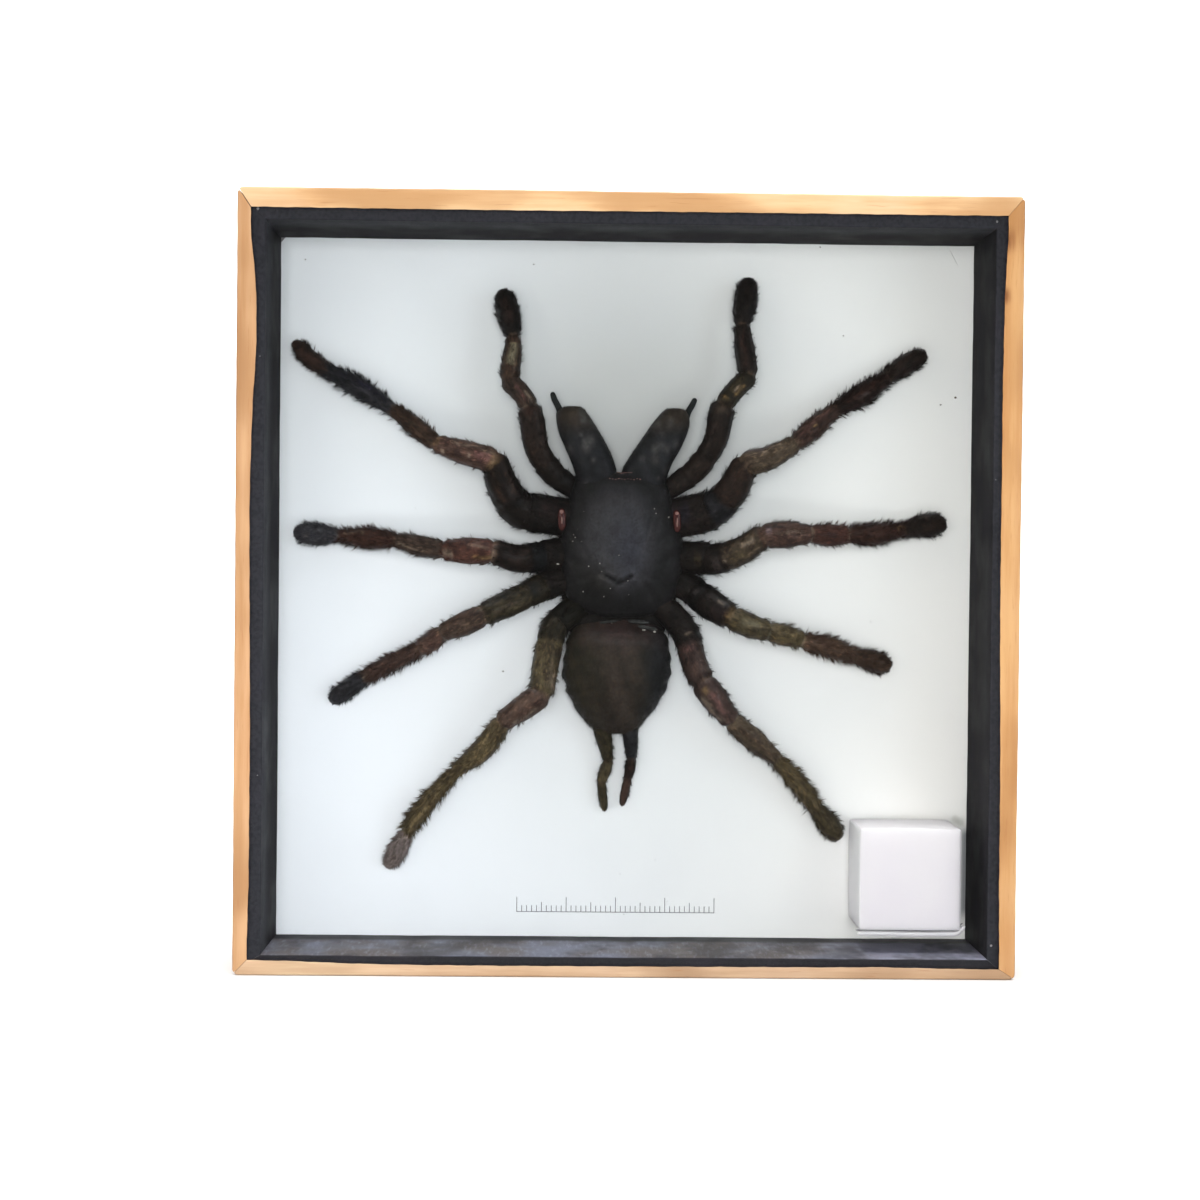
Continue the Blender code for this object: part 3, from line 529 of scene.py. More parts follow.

# Marks on a limb: segment, start and end as shares of it, the middle and the half width in
# degrees around it (0 is left of the way to the tip, 90 faces the glass), colour and strength.
# The cream, ochre, lilac and pale_olive marks are partly the shell's pale patches and partly
# painted highlights; midnight is a painted bluish sheen.
MARKS = {
    "leg_1_left": (
        (0, 0.45, 0.9, 110, 30, "plum", 0.35), (2, 0.1, 0.9, 70, 9, "brown", 0.6),
        (2, 0.2, 0.8, 125, 7, "brown", 0.5), (3, -0.04, 0.1, 75, 60, "ochre", 0.5),
        (3, 0.04, 0.34, 95, 26, "pink", 0.8), (3, 0.02, 0.75, 128, 9, "cream", 0.55),
        (3, 0.36, 0.42, 82, 10, "cream", 0.8), (3, 0.76, 0.84, 58, 14, "cream", 0.75),
        (3, 0.9, 1.02, 100, 50, "ochre", 0.4), (4, 0.1, 0.7, 130, 8, "rosy", 0.7),
        (4, 0.3, 0.9, 95, 8, "tan", 0.6), (5, 0.1, 0.9, 128, 24, "midnight", 0.8),
        (5, 0.3, 0.95, 52, 20, "slate", 0.7), (6, 0.1, 0.8, 95, 30, "russet", 0.6)),
    "leg_2_left": (
        (0, 0.2, 0.4, 120, 14, "grey", 0.7), (3, -0.03, 0.05, 90, 70, "cream", 0.4),
        (3, 0.08, 0.5, 112, 8, "cream", 0.45), (3, 0.02, 0.4, 60, 9, "ochre", 0.6),
        (3, 0.1, 0.9, 135, 22, "rust", 0.6), (3, 0.7, 1.0, 66, 22, "cream", 0.55),
        (4, 0.3, 0.95, 62, 13, "cream", 0.4), (4, 0.2, 0.9, 110, 9, "taupe", 0.6),
        (5, 0.5, 1.0, 120, 12, "cream", 0.4), (5, 0.8, 1.0, 60, 12, "grey", 0.8),
        (6, 0.02, 0.14, 60, 20, "lilac", 0.6), (6, 0.6, 0.8, 80, 16, "grey", 0.5)),
    "leg_3_left": (
        (1, 0.3, 1.0, 100, 40, "slate", 0.6), (2, 0.3, 0.9, 80, 10, "tan", 0.5),
        (2, 0.3, 1.0, 140, 20, "slate", 0.7), (3, 0.1, 0.9, 140, 24, "russet", 0.6),
        (3, 0.1, 0.8, 75, 9, "tan", 0.6), (4, 0.7, 1.0, 95, 20, "tan", 0.5),
        (5, 0.9, 1.05, 95, 16, "cream", 0.5), (6, 0.3, 0.9, 90, 30, "slate", 0.7)),
    "leg_4_left": (
        (2, 0.4, 0.95, 60, 18, "tan", 0.7), (2, 0.6, 0.95, 30, 14, "cream", 0.6),
        (3, 0.1, 0.7, 70, 24, "rosy", 0.7), (3, 0.2, 0.8, 45, 9, "cream", 0.4),
        (4, 0.1, 0.9, 90, 12, "olive_tan", 0.6), (6, 0.1, 0.9, 90, 24, "grey", 0.8)),
    "leg_1_right": (
        (0, 0.2, 0.6, 80, 30, "midnight", 0.4), (2, 0.7, 1.0, 80, 30, "brown", 0.6),
        (3, -0.04, 0.1, 110, 60, "brown", 0.7), (3, 0.05, 0.75, 42, 9, "cream", 0.8),
        (3, 0.05, 0.6, 25, 12, "lilac", 0.6), (3, 0.1, 0.9, 95, 30, "tan", 0.5),
        (4, 0.1, 0.9, 60, 9, "pink", 0.45), (4, 0.3, 0.9, 95, 9, "umber", 0.9),
        (4, 0.4, 0.5, 80, 7, "ochre", 0.8), (5, 0.1, 0.9, 80, 14, "russet", 0.8)),
    "leg_2_right": (
        (0, 0.7, 0.95, 100, 20, "olive", 0.8), (2, -0.03, 0.06, 100, 10, "cream", 0.9),
        (1, 0.3, 0.9, 110, 26, "grey", 0.5), (2, 0.1, 0.6, 100, 22, "olive_tan", 0.6),
        (2, 0.5, 0.9, 70, 12, "cream", 0.6), (3, -0.04, 0.04, 90, 70, "rust", 0.8),
        (3, 0.06, 0.2, 65, 20, "lilac", 0.8), (3, 0.2, 0.8, 80, 8, "cream", 0.3),
        (3, 0.95, 1.04, 90, 60, "cream", 0.45), (4, 0.92, 1.04, 90, 60, "cream", 0.4),
        (4, 0.1, 0.9, 100, 30, "russet", 0.5), (5, 0.4, 0.95, 90, 9, "rust", 0.8),
        (5, 0.85, 1.05, 70, 26, "ochre", 0.5)),
    "leg_3_right": (
        (1, 0.2, 0.8, 90, 18, "grey", 0.5), (2, 0.5, 0.8, 60, 7, "cream", 0.5),
        (2, 0.5, 1.0, 100, 30, "plum", 0.6), (3, -0.08, 0.06, 90, 70, "ochre", 0.4),
        (3, 0.2, 0.7, 80, 20, "pale_olive", 0.35), (3, 0.9, 1.05, 90, 30, "pale_olive", 0.35),
        (4, 0.92, 1.05, 90, 60, "cream", 0.35), (4, 0.1, 0.9, 60, 9, "olive_tan", 0.8),
        (5, 0.1, 0.9, 100, 10, "taupe", 0.5), (6, 0.6, 0.75, 80, 14, "taupe", 0.7)),
    "leg_4_right": (
        (1, 0.5, 0.7, 80, 14, "cream", 0.5), (2, 0.1, 0.3, 95, 24, "pink", 0.6),
        (2, 0.6, 0.9, 100, 24, "rosy", 0.7), (3, 0.1, 0.25, 100, 14, "ochre", 0.6),
        (3, 0.2, 0.8, 90, 12, "pink", 0.6), (3, 0.2, 0.9, 140, 16, "cream", 0.5),
        (3, 0.7, 1.0, 90, 30, "mauve", 0.8), (4, 0.1, 0.9, 90, 12, "brown", 0.7),
        (4, 0.9, 1.1, 120, 24, "olive_tan", 0.7)),
    "pedipalp_left": (
        (2, 0.85, 1.02, 90, 30, "russet", 0.7), (3, 0.05, 0.45, 118, 9, "cream", 0.75),
        (3, 0.15, 0.75, 92, 9, "pink", 0.6), (3, 0.1, 0.6, 60, 20, "rosy", 0.6),
        (4, 0.28, 0.85, 95, 24, "pale_olive", 0.8), (4, 0.0, 0.3, 90, 30, "brown", 0.6),
        (5, 0.2, 0.8, 90, 30, "russet", 0.35)),
    "pedipalp_right": (
        (2, 0.85, 1.0, 80, 24, "tan", 0.6), (3, 0.1, 0.2, 70, 30, "ochre", 0.5),
        (3, 0.35, 0.62, 95, 8, "cream", 0.7), (3, 0.3, 0.75, 110, 12, "ochre", 0.6),
        (3, 0.3, 0.9, 70, 14, "olive", 0.7), (4, 0.1, 0.9, 80, 14, "russet", 0.5)),
    "spinneret_left": ((0, 0.9, 1.05, 90, 60, "brown", 0.4), (1, 0.9, 1.1, 90, 60, "brown", 0.5)),
    "spinneret_right": ((0, 0.9, 1.1, 90, 60, "brown", 0.5), (1, 0.2, 0.6, 90, 20, "rust", 0.5),
                        (2, 0.1, 0.8, 90, 30, "russet", 0.7)),
}

LIMBS = {
    "leg_1_left": ("leg", (
        (-10.9, 88.1, 5.8), (-16.9, 88.9, 6.8), (-21.7, 90.0, 6.6), (-24.8, 94.5, 6.5),
        (-26.6, 98.9, 5.3), (-32.7, 100.8, 4.9), (-37.7, 102.6, 3.6), (-42.3, 106.0, 4.2),
        (-46.6, 109.2, 3.0), (-53.8, 113.8, 4.6), (-59.6, 116.9, 3.2), (-63.4, 119.4, 4.0),
        (-66.9, 123.1, 1.4)),
        "black*0.7 umber_dark*0.5 umber_dark*0.68 rosy*1.3 brown*0.93 slate*2 umber*1.55"),
    "leg_2_left": ("leg", (
        (-10.8, 81.1, 5.0), (-15.2, 80.7, 5.6), (-18.2, 80.3, 5.6), (-22.1, 80.0, 5.5),
        (-26.4, 81.2, 4.9), (-31.4, 81.4, 5.5), (-36.1, 81.6, 4.0), (-41.0, 82.3, 4.4),
        (-45.6, 83.4, 3.2), (-51.5, 83.8, 4.8), (-57.1, 84.2, 3.0), (-62.0, 84.4, 5.0),
        (-66.7, 84.9, 1.6)),
        "black*0.85 slate*0.3 umber*0.6 rust*1.03 taupe*0.87 russet*1.3 slate*3.3"),
    "leg_3_left": ("leg", (
        (-10.8, 76.2, 4.2), (-14.8, 75.2, 5.0), (-17.9, 73.8, 5.2), (-23.0, 71.2, 5.3),
        (-28.1, 68.8, 4.7), (-32.0, 67.0, 4.9), (-36.2, 65.2, 3.6), (-38.4, 63.5, 4.4),
        (-40.9, 61.9, 3.4), (-46.3, 59.1, 4.0), (-51.9, 56.1, 3.4), (-55.9, 53.2, 4.2),
        (-59.2, 50.9, 1.6)),
        "black olive*0.42 olive*0.68 taupe*1.09 rosy*1.2 rosy*0.8 slate*2.35"),
    "leg_4_left": ("leg", (
        (-9.7, 70.4, 4.2), (-12.5, 68.2, 4.8), (-14.5, 65.8, 5.2), (-15.8, 59.4, 5.4),
        (-16.9, 53.7, 5.1), (-20.0, 50.7, 5.1), (-24.2, 47.6, 4.2), (-28.5, 41.7, 4.8),
        (-33.5, 37.6, 3.0), (-40.7, 29.3, 4.2), (-43.3, 24.9, 3.2), (-45.2, 21.1, 4.4),
        (-47.6, 17.6, 1.6)),
        "olive_dark*0.3 olive*0.37 moss*0.67 fawn*0.73 moss_dark*1.28 moss_dark*1.28 ash*1.95"),
    "leg_1_right": ("leg", (
        (9.1, 88.3, 5.8), (15.1, 89.5, 7.0), (18.3, 91.1, 6.6), (21.1, 94.6, 6.3),
        (23.3, 98.7, 5.3), (27.8, 100.3, 4.9), (32.9, 103.2, 3.8), (37.3, 106.9, 4.6),
        (41.1, 110.0, 3.4), (46.8, 113.4, 5.0), (51.9, 117.0, 3.6), (56.4, 120.1, 4.6),
        (60.1, 122.0, 1.6)),
        "black*1.4 slate*0.95 umber*0.92 tan*0.84 rosy*0.72 russet*0.43 umber*0.9"),
    "leg_2_right": ("leg", (
        (9.2, 80.6, 5.0), (14.4, 80.5, 5.8), (17.9, 80.3, 5.6), (22.8, 82.1, 5.5),
        (26.8, 84.7, 5.1), (31.5, 85.2, 5.5), (36.1, 85.4, 4.0), (40.0, 85.3, 4.8),
        (44.0, 85.4, 3.8), (49.8, 85.6, 5.0), (55.3, 86.5, 3.4), (60.5, 87.5, 5.2),
        (64.6, 87.7, 1.6)),
        "black*0.9 umber*0.4 tan*0.55 rosy*0.89 rust*0.97 russet*0.97 umber_dark*1.3"),
    "leg_3_right": ("leg", (
        (9.2, 76.0, 4.2), (12.8, 74.3, 5.0), (14.8, 72.8, 5.6), (17.4, 70.9, 6.1),
        (20.6, 68.9, 5.1), (24.0, 67.3, 5.1), (28.1, 66.1, 4.2), (31.7, 65.3, 4.6),
        (35.2, 64.3, 3.6), (41.2, 62.7, 4.8), (46.1, 61.1, 3.6), (50.1, 60.1, 5.0),
        (53.8, 58.9, 1.8)),
        "black*0.8 black*0.33 umber*0.32 moss*0.56 moss_dark*1.32 brown*1.75 brown*0.93"),
    "leg_4_right": ("leg", (
        (7.3, 70.6, 4.2), (10.1, 68.0, 4.8), (12.1, 64.9, 5.2), (13.4, 60.2, 5.3),
        (15.1, 56.2, 5.1), (17.5, 52.8, 5.5), (21.0, 48.5, 4.3), (25.9, 44.2, 4.8),
        (30.3, 40.5, 3.2), (35.1, 35.4, 4.2), (38.5, 30.6, 3.4), (41.4, 27.1, 4.8),
        (43.7, 23.9, 1.8)),
        "black black mauve*0.56 mauve*0.72 tan*0.93 moss_dark*1.22 olive*1.45"),
    "pedipalp_left": ("palp", (
        (-8.5, 92.4, 3.0), (-12.2, 95.1, 4.0), (-15.0, 97.3, 4.6), (-18.0, 101.9, 4.8),
        (-19.0, 107.3, 4.9), (-20.2, 111.1, 4.0), (-21.6, 113.0, 4.0), (-23.4, 115.2, 4.0),
        (-23.2, 119.5, 4.0), (-23.0, 123.7, 3.2), (-24.0, 128.9, 5.2), (-25.3, 133.7, 1.4)),
        "black*0.6 umber_dark*0.53 umber_dark*1.2 taupe*0.65 brown*0.77 black*0.73"),
    "pedipalp_right": ("palp", (
        (6.6, 92.6, 3.0), (10.4, 95.5, 4.0), (13.9, 98.4, 4.4), (17.3, 103.7, 4.6),
        (18.3, 108.8, 5.1), (19.5, 111.7, 4.0), (21.4, 114.1, 4.0), (23.4, 116.6, 4.0),
        (23.0, 121.4, 4.2), (22.5, 126.5, 3.4), (23.3, 131.5, 5.2), (24.0, 136.6, 1.4)),
        "black*1.5 umber_dark*1.25 umber_dark*0.85 olive*0.35 umber_dark*0.76 black"),
    "spinneret_left": ("spinneret", (
        (-4.7, 47.4, 3.3), (-3.9, 43.4, 2.7), (-3.2, 39.7, 1.8), (-3.7, 37.6, 2.2),
        (-4.4, 35.2, 1.8), (-4.1, 32.0, 1.8), (-3.7, 29.1, 0.8)),
        "olive_dark*1.7 olive*1.6 olive_dark*2.1"),
    "spinneret_right": ("spinneret", (
        (1.0, 47.4, 3.0), (1.3, 43.4, 2.5), (1.5, 40.0, 1.8), (1.3, 38.1, 2.0),
        (0.9, 36.0, 1.6), (0.3, 33.1, 1.7), (-0.3, 30.2, 0.8)),
        "slate umber*0.8 umber*2.4"),
}


def toned(key):
    """A palette colour, darker or lighter by the factor after its name."""
    name, _, tone = key.partition("*")
    return np.array(PALETTE[name]) * float(tone or 1)


# Distance between the rings of a limb, its corners around, and the bristles in one tuft.
RING_STEP = 0.4
LIMB_SIDES = 48
TUFT_SIZE = 7


def sample_path(stations, step):
    """Evenly spaced rows along a smooth path, with their station numbers and distances."""
    spots = np.linspace(0, len(stations) - 1, 60 * (len(stations) - 1) + 1)
    rows = smooth_rows(stations, spots)
    lengths = np.linalg.norm(np.diff(rows[:, :3], axis=0), axis=1)
    distance = np.concatenate([[0], np.cumsum(lengths)])
    even = np.linspace(0, distance[-1], int(distance[-1] / step) + 2)
    columns = [np.interp(even, distance, column) for column in rows.T]
    return np.stack(columns, -1), np.interp(even, distance, spots), even


def tube_axes(points):
    """Along, sideways and towards-the-glass directions at each point of a path."""
    along = unit(np.gradient(points, axis=0))
    up = np.array([0.0, -1.0, 0.0]) - along * (-along[:, 1])[:, None]
    up = unit(up)
    return along, np.cross(up, along), up


def tube(points, radius, sides=LIMB_SIDES, flat=0.94):
    """Ring vertices of a tube, its outward directions and its axes."""
    along, side, up = tube_axes(points)
    angle = np.arange(sides) * 2 * math.pi / sides
    out = side[:, None] * np.cos(angle)[None, :, None] + up[:, None] * np.sin(angle)[None, :, None]
    squash = 1 - (1 - flat) * np.sin(angle)[None, :] ** 2
    ring = points[:, None] + out * (radius * squash)[..., None]
    return ring, out, along, angle


def add_tube(bundle, ring, tint=(0.5, 0.5, 0.5), strand=(0, 0, 0)):
    """Add a closed tube to a bundle, with colours and streak coordinates for its vertices."""
    tint, strand = (np.broadcast_to(data, ring.shape).reshape(-1, 3) for data in (tint, strand))
    bundle.add(ring, loft_faces(*ring.shape[:2]), tint, strand)


def paint(tint, distance, angle, span, middle, half, colour, strength):
    """Blend a soft-edged stroke into the colours of a tube."""
    start, end = span
    soft = min(0.5, (end - start) * 0.3)
    lengthways = ease(distance, start, start + soft) * (1 - ease(distance, end - soft, end))
    middle = middle + 5 * np.sin(distance * 1.3 + start)
    turn = (np.degrees(angle)[None, :] - middle[:, None] + 180) % 360 - 180
    mask = strength * lengthways[:, None] * np.exp(-(turn / half) ** 2)
    return blend(tint, colour, mask)


def add_coat(bundle, ring, points, out, along, distance, span, coat, colour, rng):
    """Bristles on one segment of a tube, gathered in ragged tufts."""
    density, length, lean = coat
    start, end = span
    inside = (distance >= start) & (distance <= end)
    girth = 2 * math.pi * np.linalg.norm(ring[inside, 0] - points[inside], axis=1).mean()
    tufts = int(girth * (end - start) * density / TUFT_SIZE)
    count = tufts * TUFT_SIZE
    own = np.repeat(np.arange(tufts), TUFT_SIZE)
    along_at = rng.uniform(start, end, tufts)[own] + rng.normal(0, 0.16, count)
    turn = rng.uniform(0, 1, tufts)[own] + rng.normal(0, 0.14, count) / girth
    row = np.clip(np.searchsorted(distance, along_at), 1, len(distance) - 2)
    side = (turn * ring.shape[1]).astype(int) % ring.shape[1]
    root = ring[row, side] * 0.97 + points[row] * 0.03
    reach = length * rng.uniform(0.5, 1.4, tufts)[own] * rng.uniform(0.7, 1.1, count)
    leans = np.radians(lean + rng.normal(0, 10, tufts)[own] + rng.normal(0, 3, count))
    spread = rng.normal(0, 0.26, (tufts, 3))[own] + rng.normal(0, 0.07, (count, 3))
    reach = reach * np.clip((distance[-1] - along_at) / 2.4, 0.3, 1)
    shade = (rng.uniform(0.45, 1.25, tufts)[own] * rng.uniform(0.8, 1.2, count))[:, None]
    bristles(bundle, root, out[row, side], along[row], reach, leans,
             rng.uniform(0.07, 0.12, count), (colour * 0.72 + 0.001) * shade, spread)


def build_limb(name, kind, places, colours, seed, materials, slot):
    """One limb: a jointed skin with a groove and a rim at each joint, and a coat of bristles."""
    heights, joints, coats = KINDS[kind]
    rng = np.random.default_rng(seed)
    stations = np.array([(x, BOARD_Y - height, z, width / 2)
                         for (x, z, width), height in zip(places, heights)])
    if kind == "leg":
        stations[0, :3] += 3.0 * unit(stations[0, :3] - stations[1, :3])
        stations[:4, 3] *= (1.34, 1.14, 1.08, 1.03)
    rows, spots, distance = sample_path(stations, RING_STEP)
    at_station = np.interp(np.arange(len(stations)), spots, distance)
    joint_at = np.interp(joints, spots, distance)
    segment = np.clip(np.searchsorted(joint_at, distance, side="right") - 1, 0, len(coats) - 1)
    share = np.array([coat[3] for coat in coats])[segment]
    for _ in range(3):
        share = np.convolve(np.pad(share, 1, mode="edge"), (0.25, 0.5, 0.25), mode="valid")
    points, radius = rows[:, :3], rows[:, 3] * share
    last_wide = at_station[-2]
    share = np.clip((distance - last_wide) / (distance[-1] - last_wide), 0, 1)
    tip_radius = np.interp(last_wide, distance, radius) * np.sqrt(1 - share ** 2.4)
    radius = np.where(distance > last_wide, np.maximum(tip_radius, 0.05), radius)
    size = 1.0 if kind != "spinneret" else 0.5
    for index, spot in enumerate(joint_at[1:-1]):
        depth = 0.35 if index < 2 and kind != "spinneret" else 1.0
        radius = radius * (1 - 0.17 * depth * bell(distance, spot + 0.15 * size, 0.4 * size)
                           + 0.06 * depth * bell(distance, spot - 0.8 * size, 0.55 * size)
                           + 0.03 * depth * bell(distance, spot + 1.3 * size, 0.6 * size))
    ring, out, along, angle = tube(points, radius[:, None])
    ripple = waves(angle[None, :], distance[:, None], rng)
    folds = waves(3 * angle[None, :], distance[:, None] * 0.3, rng, 4)
    ring = ring + out * (radius[:, None] * (0.05 * ripple + 0.025 * folds))[..., None]

    names = colours.split()
    base = np.array([toned(key) for key in names])
    tint = base[segment]
    for index, spot in enumerate(joint_at[1:-1]):
        onward = ease(distance, spot - 0.5, spot + 0.5)[:, None]
        near = (np.abs(distance - spot) < 0.5)[:, None]
        tint = np.where(near, base[index] * (1 - onward) + base[index + 1] * onward, tint)
    tint = np.repeat(tint[:, None], len(angle), axis=1)
    tint = tint * (1 + 0.25 * waves(angle[None, :], distance[:, None] * 1.7, rng))[..., None]
    # Painted shade: each limb darkens towards its sides as seen from the glass.
    edge = 1 - 0.62 * (1 - np.abs(np.sin(angle))) ** 1.5
    tint = tint * edge[None, :, None]
    # Random pale and dark streaks on each segment; the pale ones are partly the shell's own pale
    # stripes and partly painted highlights.
    for index, (start, end) in enumerate(zip(joint_at[:-1], joint_at[1:])):
        long = end - start
        for _ in range(coats[index][4]):
            first = start + long * rng.uniform(0, 0.6)
            span = (first, first + long * rng.uniform(0.2, 0.55))
            pale = base[index] * 2.2 + 0.01
            shade = pale if rng.random() < 0.5 else base[index] * 0.25
            tint = paint(tint, distance, angle, span, rng.uniform(25, 155),
                         rng.uniform(5, 12), shade, rng.uniform(0.3, 0.6))
    for index, first, last, middle, half, key, strength in MARKS.get(name, ()):
        start, long = joint_at[index], joint_at[index + 1] - joint_at[index]
        tint = paint(tint, distance, angle, (start + long * first, start + long * last),
                     middle, half, PALETTE[key], strength * 0.8)
    for index, spot in enumerate(joint_at[1:-1]):
        if index >= 2:
            pale = 0.34 * bell(distance, spot + 0.2 * size, 0.24 * size)[:, None]
            pale = pale * (0.5 + 0.5 * np.sin(3 * angle + index * 2 + seed))[None, :]
            tint = blend(tint, srgb(150, 128, 104), pale)
    strand = np.stack(np.broadcast_arrays(
        2.2 * np.cos(angle)[None, :], 2.2 * np.sin(angle)[None, :],
        distance[:, None] + 10.0 * seed), -1)
    bundle = Bundle()
    add_tube(bundle, ring, tint, strand)
    for index, coat in enumerate(coats):
        span = (joint_at[index], joint_at[index + 1])
        add_coat(bundle, ring, points, out, along, distance, span, coat[:3], base[index], rng)
    return bundle.make("spider_" + name, materials, slot, [name])


# ---------------------------------------------------------------- the spider's body

CARAPACE_OUTLINE = (
    (97.1, -9.0, 6.2, 9.2, 3.2), (96.2, -10.2, 7.4, 10.4, 2.2), (93.6, -11.2, 8.5, 11.2, 1.6),
    (90.6, -11.8, 9.2, 11.7, 1.2), (86.6, -12.8, 10.5, 12.0, 0.8), (81.5, -13.2, 11.4, 11.8, 0.8),
    (76.0, -12.9, 10.9, 11.2, 0.8), (72.2, -11.7, 9.5, 10.2, 1.4), (69.7, -9.0, 7.0, 8.8, 2.4),
    (68.5, -5.6, 4.0, 7.6, 3.4))
ABDOMEN_OUTLINE = (
    (68.2, -5.6, 3.0, 6.6, 3.4), (67.3, -8.6, 5.8, 7.4, 2.8), (66.2, -10.3, 7.3, 8.4, 2.0),
    (64.6, -11.3, 8.3, 9.8, 1.2), (61.8, -12.0, 8.8, 11.0, 0.7),
    (57.9, -12.5, 9.1, 11.5, 0.5), (54.6, -12.0, 8.3, 11.3, 0.5),
    (51.1, -10.3, 6.5, 10.3, 0.6), (48.3, -8.5, 4.4, 8.8, 1.2),
    (46.4, -6.5, 2.7, 7.2, 2.2), (45.3, -4.4, 1.0, 6.0, 3.2))
UNDERBODY_OUTLINE = (
    (97.2, -9.6, 7.4, 6.4, 3.0), (95.0, -10.8, 8.4, 7.4, 2.6), (91.0, -11.4, 9.6, 7.6, 2.4),
    (86.0, -13.0, 10.0, 7.6, 2.4), (80.0, -13.9, 10.6, 7.6, 2.4), (75.0, -13.4, 10.2, 7.4, 2.4),
    (71.0, -12.5, 9.2, 7.2, 2.4), (67.5, -11.8, 8.4, 6.8, 2.6), (64.6, -10.6, 7.4, 6.0, 3.0))
FOVEA = ((-4.2, 76.9), (-2.9, 76.2), (-1.5, 75.2), (-0.3, 76.1), (0.9, 76.9))


def line_distance(x, z, path):
    """Distance from points to a broken line in the plane of the board."""
    best = np.full(x.shape, 1e9)
    for (ax, az), (bx, bz) in zip(path[:-1], path[1:]):
        dx, dz = bx - ax, bz - az
        t = np.clip(((x - ax) * dx + (z - az) * dz) / (dx * dx + dz * dz), 0, 1)
        best = np.minimum(best, np.hypot(x - ax - t * dx, z - az - t * dz))
    return best


def body_shape(outline, rings, sides, power):
    """Rings of a rounded body. Returns the x, height and z of each vertex, and its angle."""
    rows = smooth_rows(outline, np.linspace(0, len(outline) - 1, rings))
    angle = np.arange(sides) * 2 * math.pi / sides
    cosine, sine = np.cos(angle), np.sin(angle)
    across = np.sign(cosine) * np.abs(cosine) ** (2 / power)
    upward = np.sign(sine) * np.abs(sine) ** (2 / power)
    z, left, right, top, under = (column[:, None] for column in rows.T)
    x = (left + right) / 2 + (right - left) / 2 * across[None, :]
    height = (top + under) / 2 + (top - under) / 2 * upward[None, :]
    return x, height, np.broadcast_to(z, x.shape), angle


def close_body(x, height, z, bulge):
    """Add shrinking rings at both ends so that the body closes in a rounded way."""
    def ends(columns, towards):
        made = []
        for share, lift in ((0.88, 0.55), (0.66, 0.85), (0.36, 1.0)):
            ring = []
            for column, middle in zip(columns, (columns[0].mean(), columns[1].mean(), None)):
                ring.append(column + towards * bulge * lift if middle is None
                            else middle + (column - middle) * share)
            made.append(ring)
        return made
    first = ends((x[0], height[0], z[0]), 1)[::-1]
    last = ends((x[-1], height[-1], z[-1]), -1)
    stacks = []
    for index, column in enumerate((x, height, z)):
        stacks.append(np.concatenate([np.stack([ring[index] for ring in first]), column,
                                      np.stack([ring[index] for ring in last])]))
    return stacks


def body_normals(ring):
    """Outward directions of a ring grid."""
    around = np.roll(ring, -1, axis=1) - np.roll(ring, 1, axis=1)
    forward = np.gradient(ring, axis=0)
    normal = unit(np.cross(around, forward))
    outwards = ring - ring.mean(axis=1, keepdims=True)
    flip = np.sign((normal * outwards).sum(-1, keepdims=True))
    return normal * np.where(flip == 0, 1, flip)


def scatter(ring, rng, count, last=4):
    """Random rows and columns of a ring grid, without its end rows."""
    row = rng.integers(4, ring.shape[0] - last, count)
    return row, rng.integers(0, ring.shape[1], count)


def add_fur(bundle, ring, tint, spots, flow, rng, length, lean, width, shade):
    """Bristles at spots of a body, which lean from its surface by some degrees."""
    size = (len(spots[0]), 3)
    bristles(bundle, ring[spots], body_normals(ring)[spots], np.broadcast_to(flow, size), length,
             np.radians(lean), width, tint[spots] * shade, rng.normal(0, 0.28, size))


